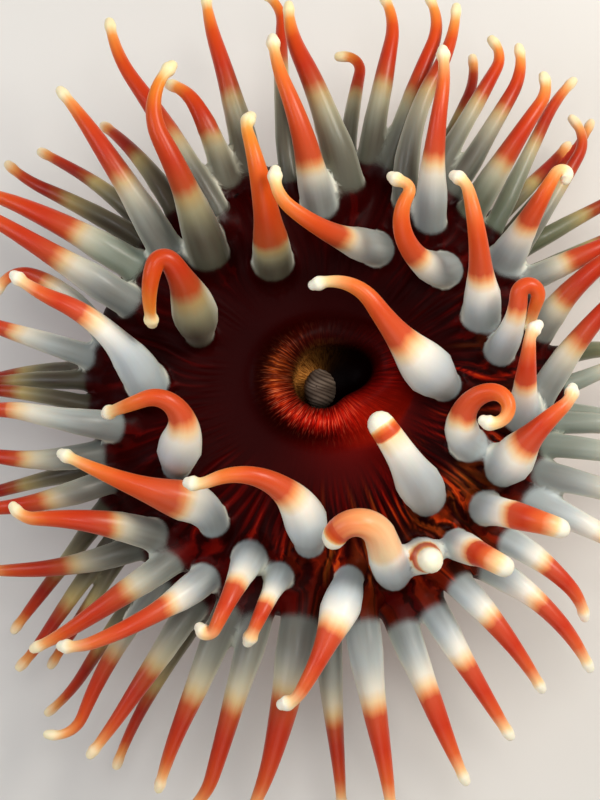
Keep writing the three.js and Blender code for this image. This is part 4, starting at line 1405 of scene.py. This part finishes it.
@dataclass(frozen=True)
class LivingFlesh:
    """Soft wet flesh, grown: lightly translucent, so that light bleeds through and edges stay soft.

    The limbs are greyish and translucent over a darker core, the canal seen through the wall, which is
    painted on their upper side only as painted shade, with painted rim light on their flanks; then red,
    then cream, with a pale bloom at grazing angles. The trunk is dark velvet with hardly any gloss, so its
    maroon stays deep.

    Lengths are in millimetres. Stops run from 0 to 1 along a mark or a noise.
    """

    name: str = "living_flesh"
    ior: float = 1.36
    scatter: float = 2.6
    scatter_tint: tuple[float, float, float] = (1.0, 0.42, 0.26)
    bloom_tint: str = "#fff0d8"
    limb: Gloss = Gloss(0.4, 0.38, 0.1, 0.16, 0.2)
    trunk: Gloss = Gloss(0.42, 0.04, 0.0, 0.0, 0.0)
    # Fine striae in the bump, soft mottling, the disc's cords and the hairlines of the lips.
    stria: float = 0.9
    stria_depth: float = 0.2
    mottle: float = 5.0
    cord: float = 1.6
    hair: float = 0.24
    # At most this much of the painted rim light over a limb base's flanks, and of the gold painted
    # as highlight along the disc's folds.
    rim_light_share: float = 0.75
    glint_share: float = 0.45
    # The pale colour painted over the flanks of a limb's base as painted rim light.
    painted_rim_light: str = "#eeeedc"
    shade: str = "#443a30"
    moss: str = "#76906a"
    # Gold painted along the disc's fold tops as painted highlight.
    gold_glint: str = "#a8661e"
    wart: str = "#c89c86"
    hairline: str = "#f0a87c"
    # Painted shade: the throat is painted nearly black.
    throat: str = "#080000"
    # The first run is a darker copy of the limb colours, painted as shade on the shaded tentacles.
    shaded_copy: Stops = (
        (0.0, "#2c2a1e"), (0.14, "#55523e"), (0.32, "#807a5c"), (0.43, "#a8945c"), (0.5, "#94441c"),
        (0.6, "#8a1808"), (0.82, "#a82c10"), (0.92, "#d8904c"), (1.0, "#f0dcb4"),
    )
    # This run, the milky one and the darker one above start darker at the root: painted shade where the limb
    # meets the disc.
    vivid: Stops = (
        (0.0, "#3a3c30"), (0.1, "#5e604f"), (0.26, "#82826b"), (0.38, "#999371"), (0.45, "#a88e5c"),
        (0.51, "#a8401a"), (0.6, "#b02408"), (0.76, "#c83c06"), (0.88, "#f08a2c"), (0.95, "#ffe6ac"),
    )
    milky: Stops = (
        (0.0, "#808c8e"), (0.1, "#b2bec0"), (0.28, "#d2dde0"), (0.4, "#f8f4e6"), (0.45, "#fcdcac"),
        (0.49, "#f09c60"), (0.52, "#cc4c2c"), (0.66, "#c02c16"), (0.8, "#d85830"), (0.91, "#ffd09a"),
        (0.96, "#fff8e4"),
    )
    golden: Stops = (
        (0.4, "#f6b45c"), (0.56, "#f08024"), (0.7, "#f4741a"), (0.84, "#ffa236"), (0.92, "#ffe08c"),
        (0.96, "#fff8d8"),
    )
    disc: Stops = (
        (0.0, "#0c0000"), (0.15, "#280000"), (0.3, "#560402"), (0.5, "#a01806"), (0.7, "#cc400c"),
        (0.95, "#e88a34"),
    )
    # The lips' colours run by their painted light: dark where in shade, bright where lit.
    lip_red: Stops = (
        (0.0, "#100000"), (0.2, "#3c0201"), (0.45, "#8e0a04"), (0.75, "#cc1a08"), (1.0, "#e8421a"),
    )
    lip_gold: Stops = (
        (0.0, "#0e0200"), (0.25, "#3a1004"), (0.5, "#84300a"), (0.75, "#b8601a"), (1.0, "#d89840"),
    )
    lit_throat: Stops = ((0.5, "#4c280c"), (0.85, "#a8662a"), (1.0, "#e09848"))
    # The throat fold's brown-grey by ridge height: paler on ridge tops, darker in grooves, as painted
    # highlight and shade.
    silver: Stops = ((0.1, "#3a2e26"), (0.5, "#5e5045"), (0.95, "#7c6c5e"))
    column: Stops = ((0.3, "#4a060a"), (0.5, "#86101a"), (0.72, "#a82424"))

    def limb_colour(self, tree: bpy.types.NodeTree, marks: Sockets) -> bpy.types.NodeSocket:
        """The tentacles' colour: runs from root to end, and over them painted rim light, painted shade and
        moss.

        Args:
            tree: The material's node tree.
            marks: The skin's marks by name.

        Returns:
            The colour's socket.
        """
        add = partial(add_node, tree)
        mottle = add("TexNoise", {"Vector": marks["limb_grain"], "Scale": 1 / self.mottle, "Detail": 3.0})
        shift = add("Math", {0: mottle, 1: 0.06, 2: -0.03}, operation="MULTIPLY_ADD")
        place = add("Math", {0: marks["band"], 1: shift}, operation="ADD", use_clamp=True)
        runs = (self.vivid, self.milky, self.golden, self.shaded_copy)
        colour, milky, golden, shaded_copy = (add("ValToRGB", {0: place}, stops=stops) for stops in runs)
        # Gold is mixed in more on the flanks, as painted rim light.
        rim = add("Math", {0: marks["flank"], 1: 0.5, 2: 0.42}, operation="MULTIPLY_ADD")
        gold_glint = add("Math", {0: rim, 1: marks["gold"]}, operation="MULTIPLY", use_clamp=True)
        # Painted rim light: the pale colour over the flanks of a limb's base.
        painted_rim_light = add("MapRange", {"Value": marks["band"], "From Min": 0.5, "From Max": 0.4})
        clear = add("Math", {0: painted_rim_light, 1: marks["flank"]}, operation="MULTIPLY")
        clear = add("Math", {0: clear, 1: self.rim_light_share}, operation="MULTIPLY")
        # Painted shade: the mottled core darkens the upper side of a limb's base.
        spots = {"Value": mottle, "From Min": 0.3, "From Max": 0.7, "To Min": 0.45, "To Max": 1.0}
        hollow = add("Math", {0: add("MapRange", spots), 1: marks["core"]}, operation="MULTIPLY")
        for share, layer in (
            (marks["milk"], milky), (gold_glint, golden), (clear, self.painted_rim_light), (marks["limb_shade"], shaded_copy),
            (hollow, self.shade), (marks["green"], self.moss),
        ):
            colour = add("Mix", {0: share, 6: colour, 7: layer}, 2, data_type="RGBA")
        return colour

    def trunk_colour(self, tree: bpy.types.NodeTree, marks: Sockets) -> bpy.types.NodeSocket:
        """The disc's, column's, lips' and throat's colours, mixed by their marks.

        Args:
            tree: The material's node tree.
            marks: The skin's marks by name.

        Returns:
            The colour's socket.
        """
        add = partial(add_node, tree)
        mottle = add("TexNoise", {"Vector": marks["trunk_grain"], "Scale": 1 / self.mottle, "Detail": 2.0})
        cord = add("TexNoise", {"Vector": marks["trunk_grain"], "Scale": 1 / self.cord, "Detail": 1.5})
        line = add("TexNoise", {"Vector": marks["lip_grain"], "Scale": 1 / self.hair, "Detail": 2.0})
        streak = {"Value": cord, "From Min": 0.38, "From Max": 0.64, "To Min": -0.45, "To Max": 0.5}
        streak = {0: add("MapRange", streak), 1: marks["corded"], 2: 1.0}
        streak = add("Math", streak, operation="MULTIPLY_ADD")
        redness = add("Math", {0: marks["redness"], 1: streak}, operation="MULTIPLY", use_clamp=True)
        # Painted highlight: the gold along the fold tops, streaked by the cords.
        gold_glint = add("Math", {0: marks["gild"], 1: streak}, operation="MULTIPLY", use_clamp=True)
        gold_glint = add("Math", {0: gold_glint, 1: self.glint_share}, operation="MULTIPLY")
        lined = {"Value": line, "From Min": 0.35, "From Max": 0.66, "To Min": 0.55, "To Max": 1.3}
        lined = add("MapRange", lined)
        # Painted light on the lips, streaked by the hairlines' noise.
        glow = add("Math", {0: marks["lip_glow"], 1: lined}, operation="MULTIPLY", use_clamp=True)
        hair = add("MapRange", {"Value": line, "From Min": 0.55, "From Max": 0.74, "To Max": 0.38})
        hair = add("Math", {0: hair, 1: marks["hair"]}, operation="MULTIPLY")
        disc, column, red, gold, lit, silver = (
            add("ValToRGB", {0: place}, stops=stops) for place, stops in (
                (redness, self.disc), (mottle, self.column), (glow, self.lip_red), (glow, self.lip_gold),
                (lined, self.lit_throat), (marks["redness"], self.silver),
            )
        )
        # The throat is painted shade, and on the amber side the colour of its lit wall, painted light.
        parts = {"disc": disc, "column": column, "lip": red, "throat": self.throat}
        for part, share, layer in (
            ("disc", gold_glint, self.gold_glint), ("column", marks["wart"], self.wart), ("lip", marks["amber"], gold),
            ("lip", hair, self.hairline), ("throat", marks["amber"], lit),
        ):
            parts[part] = add("Mix", {0: share, 6: parts[part], 7: layer}, 2, data_type="RGBA")
        colour = parts["disc"]
        for share, layer in (
            (marks["wall"], parts["column"]), (marks["lip"], parts["lip"]),
            (marks["gullet"], parts["throat"]), (marks["silver"], silver),
        ):
            colour = add("Mix", {0: share, 6: colour, 7: layer}, 2, data_type="RGBA")
        return colour

    def surface(
        self, tree: bpy.types.NodeTree, gloss: Gloss, bump: bpy.types.NodeSocket, colour: bpy.types.NodeSocket
    ) -> bpy.types.NodeSocket:
        """One kind of flesh's shader.

        Args:
            tree: The material's node tree.
            gloss: How it takes the light.
            bump: The bumped normal.
            colour: The colour.

        Returns:
            The shader's socket.
        """
        return add_node(tree, "BsdfPrincipled", {
            "Base Color": colour,
            "Roughness": gloss.roughness,
            "IOR": self.ior,
            "Specular IOR Level": gloss.specular,
            "Subsurface Weight": gloss.subsurface,
            "Subsurface Radius": self.scatter_tint,
            "Subsurface Scale": self.scatter * MM,
            "Sheen Weight": gloss.sheen,
            "Sheen Roughness": 0.3,
            "Sheen Tint": self.bloom_tint,
            "Coat Weight": gloss.coat,
            "Coat Roughness": 0.2,
            "Normal": bump,
        })

    def build(self) -> bpy.types.Material:
        """Makes the material, which reads the skin's own marks.

        Returns:
            The material.
        """
        material = bpy.data.materials.new(self.name)
        material.use_nodes = True
        tree = material.node_tree
        tree.nodes.clear()
        add = partial(add_node, tree)
        marks = {
            name: add("Attribute", output="Vector" if name in VECTORS else "Fac", attribute_name=name)
            for name in MARKS
        }
        grain = {0: marks["zone"], 4: marks["trunk_grain"], 5: marks["limb_grain"]}
        grain = add("Mix", grain, 1, data_type="VECTOR")
        stria = add("TexNoise", {"Vector": grain, "Scale": 1 / self.stria, "Detail": 3.0})
        bump = add("Bump", {"Strength": 0.16, "Distance": self.stria_depth * MM, "Height": stria})
        # The striae make the seam between limb and trunk ragged.
        ragged = add("Math", {0: stria, 1: 0.5, 2: -0.25}, operation="MULTIPLY_ADD")
        grown = add("Math", {0: marks["zone"], 1: ragged}, operation="ADD")
        grown = {"Value": grown, "From Min": 0.34, "From Max": 0.66}
        grown = add("MapRange", grown, interpolation_type="SMOOTHSTEP")
        colour = add("Mix", {
            0: grown, 6: self.trunk_colour(tree, marks), 7: self.limb_colour(tree, marks),
        }, 2, data_type="RGBA")
        shader = add("MixShader", {
            0: marks["zone"],
            1: self.surface(tree, self.trunk, bump, colour),
            2: self.surface(tree, self.limb, bump, colour),
        })
        add("OutputMaterial", {"Surface": shader})
        return material


@dataclass(frozen=True)
class PaleFloor:
    """A matt painted board, rolled: even and pale, so that it shows only soft shadows."""

    size: float = 6.0
    colour: str = "#dfddd8"
    roughness: float = 0.9

    def build(self) -> bpy.types.Object:
        """Makes the floor.

        Returns:
            The floor object.
        """
        half = self.size / 2
        mesh = bpy.data.meshes.new("floor")
        corners = [(-half, -half, 0), (half, -half, 0), (half, half, 0), (-half, half, 0)]
        mesh.from_pydata(corners, [], [(0, 1, 2, 3)])
        material = bpy.data.materials.new("matt_board")
        material.use_nodes = True
        shader = material.node_tree.nodes["Principled BSDF"]
        shader.inputs["Base Color"].default_value = linear(self.colour)
        shader.inputs["Roughness"].default_value = self.roughness
        mesh.materials.append(material)
        floor = bpy.data.objects.new("floor", mesh)
        bpy.context.scene.collection.objects.link(floor)
        return floor


@dataclass(frozen=True)
class Studio:
    """The camera over the mouth and soft lights round it, in millimetres.

    Attributes:
        target: What the camera looks at.
        elevation_deg: The camera's height over the horizon.
        distance: From the target to the camera.
        seen: Width in view at the target.
        sensor: The camera sensor's width.
        ambient: The surround's strength.
        surround: Its colour.
        lamps: Each lamp's place, width, watts and colour.
    """

    target: tuple[float, float, float] = (-5.9, -4.05, 55.0)
    elevation_deg: float = 86.0
    distance: float = 470.0
    seen: float = 216.0
    sensor: float = 36.0
    ambient: float = 0.25
    surround: str = "#e6e8ec"
    lamps: tuple[tuple[tuple[float, float, float], float, float, str], ...] = (
        ((330.0, 240.0, 470.0), 200.0, 2.7, "#fff8ee"),
        ((-420.0, 60.0, 420.0), 260.0, 1.0, "#f2f6ff"),
        ((40.0, -480.0, 460.0), 420.0, 0.8, "#fff6ea"),
        ((20.0, 60.0, 760.0), 220.0, 1.1, "#ffffff"),
    )

    def camera(self) -> None:
        """Looks down at the disc from just short of overhead, level with the frame's X."""
        elevation = math.radians(self.elevation_deg)
        away = Vector((0.0, -math.cos(elevation), math.sin(elevation)))
        target = Vector(self.target) * MM
        data = bpy.data.cameras.new("camera")
        data.sensor_width = self.sensor
        data.lens = self.sensor * self.distance / self.seen
        data.clip_start = 0.01
        camera = bpy.data.objects.new("camera", data)
        camera.location = target + away * self.distance * MM
        camera.rotation_euler = (-away).to_track_quat("-Z", "Y").to_euler()
        bpy.context.scene.collection.objects.link(camera)
        bpy.context.scene.camera = camera

    def light(self) -> None:
        """Places the lamps, each facing the disc, and an even pale surround."""
        scene = bpy.context.scene
        for index, (place, width, watts, colour) in enumerate(self.lamps):
            data = bpy.data.lights.new(f"lamp_{index + 1}", "AREA")
            data.size, data.energy, data.color = width * MM, watts, linear(colour)[:3]
            lamp = bpy.data.objects.new(data.name, data)
            lamp.location = Vector(place) * MM
            towards = Vector(self.target) * MM - lamp.location
            lamp.rotation_euler = towards.to_track_quat("-Z", "Y").to_euler()
            scene.collection.objects.link(lamp)
        world = bpy.data.worlds.new("studio")
        world.use_nodes = True
        background = world.node_tree.nodes["Background"].inputs
        background["Color"].default_value = linear(self.surround)
        background["Strength"].default_value = self.ambient
        scene.world = world
        scene.view_settings.view_transform = "Standard"


def main() -> None:
    """Builds the studio, the floor and the skin, and hangs the skin on the frame."""
    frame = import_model()
    studio = Studio()
    studio.camera()
    studio.light()
    LOG.info("studio with %d lamps", len(studio.lamps))
    PaleFloor().build()
    LOG.info("floor")

    crown = Crown()
    roots = crown.rows[:, [1, 2, 11]]
    grids = [Trunk().grid(roots), ThroatFold().grid(), *crown.grids()]
    LOG.info("trunk, throat fold and %d tentacles", len(grids) - 2)
    skin = Skin().build(grids)
    skin.name = "anemone_skin"
    skin.data.materials.clear()
    skin.data.materials.append(LivingFlesh().build())
    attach(skin, "root")
    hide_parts(*frame["nodes"])
    LOG.info("skin of %d points and %d faces", len(skin.data.vertices), len(skin.data.polygons))


if __name__ == "__main__":
    logging.basicConfig(level=logging.INFO, format="%(name)s: %(message)s")
    main()
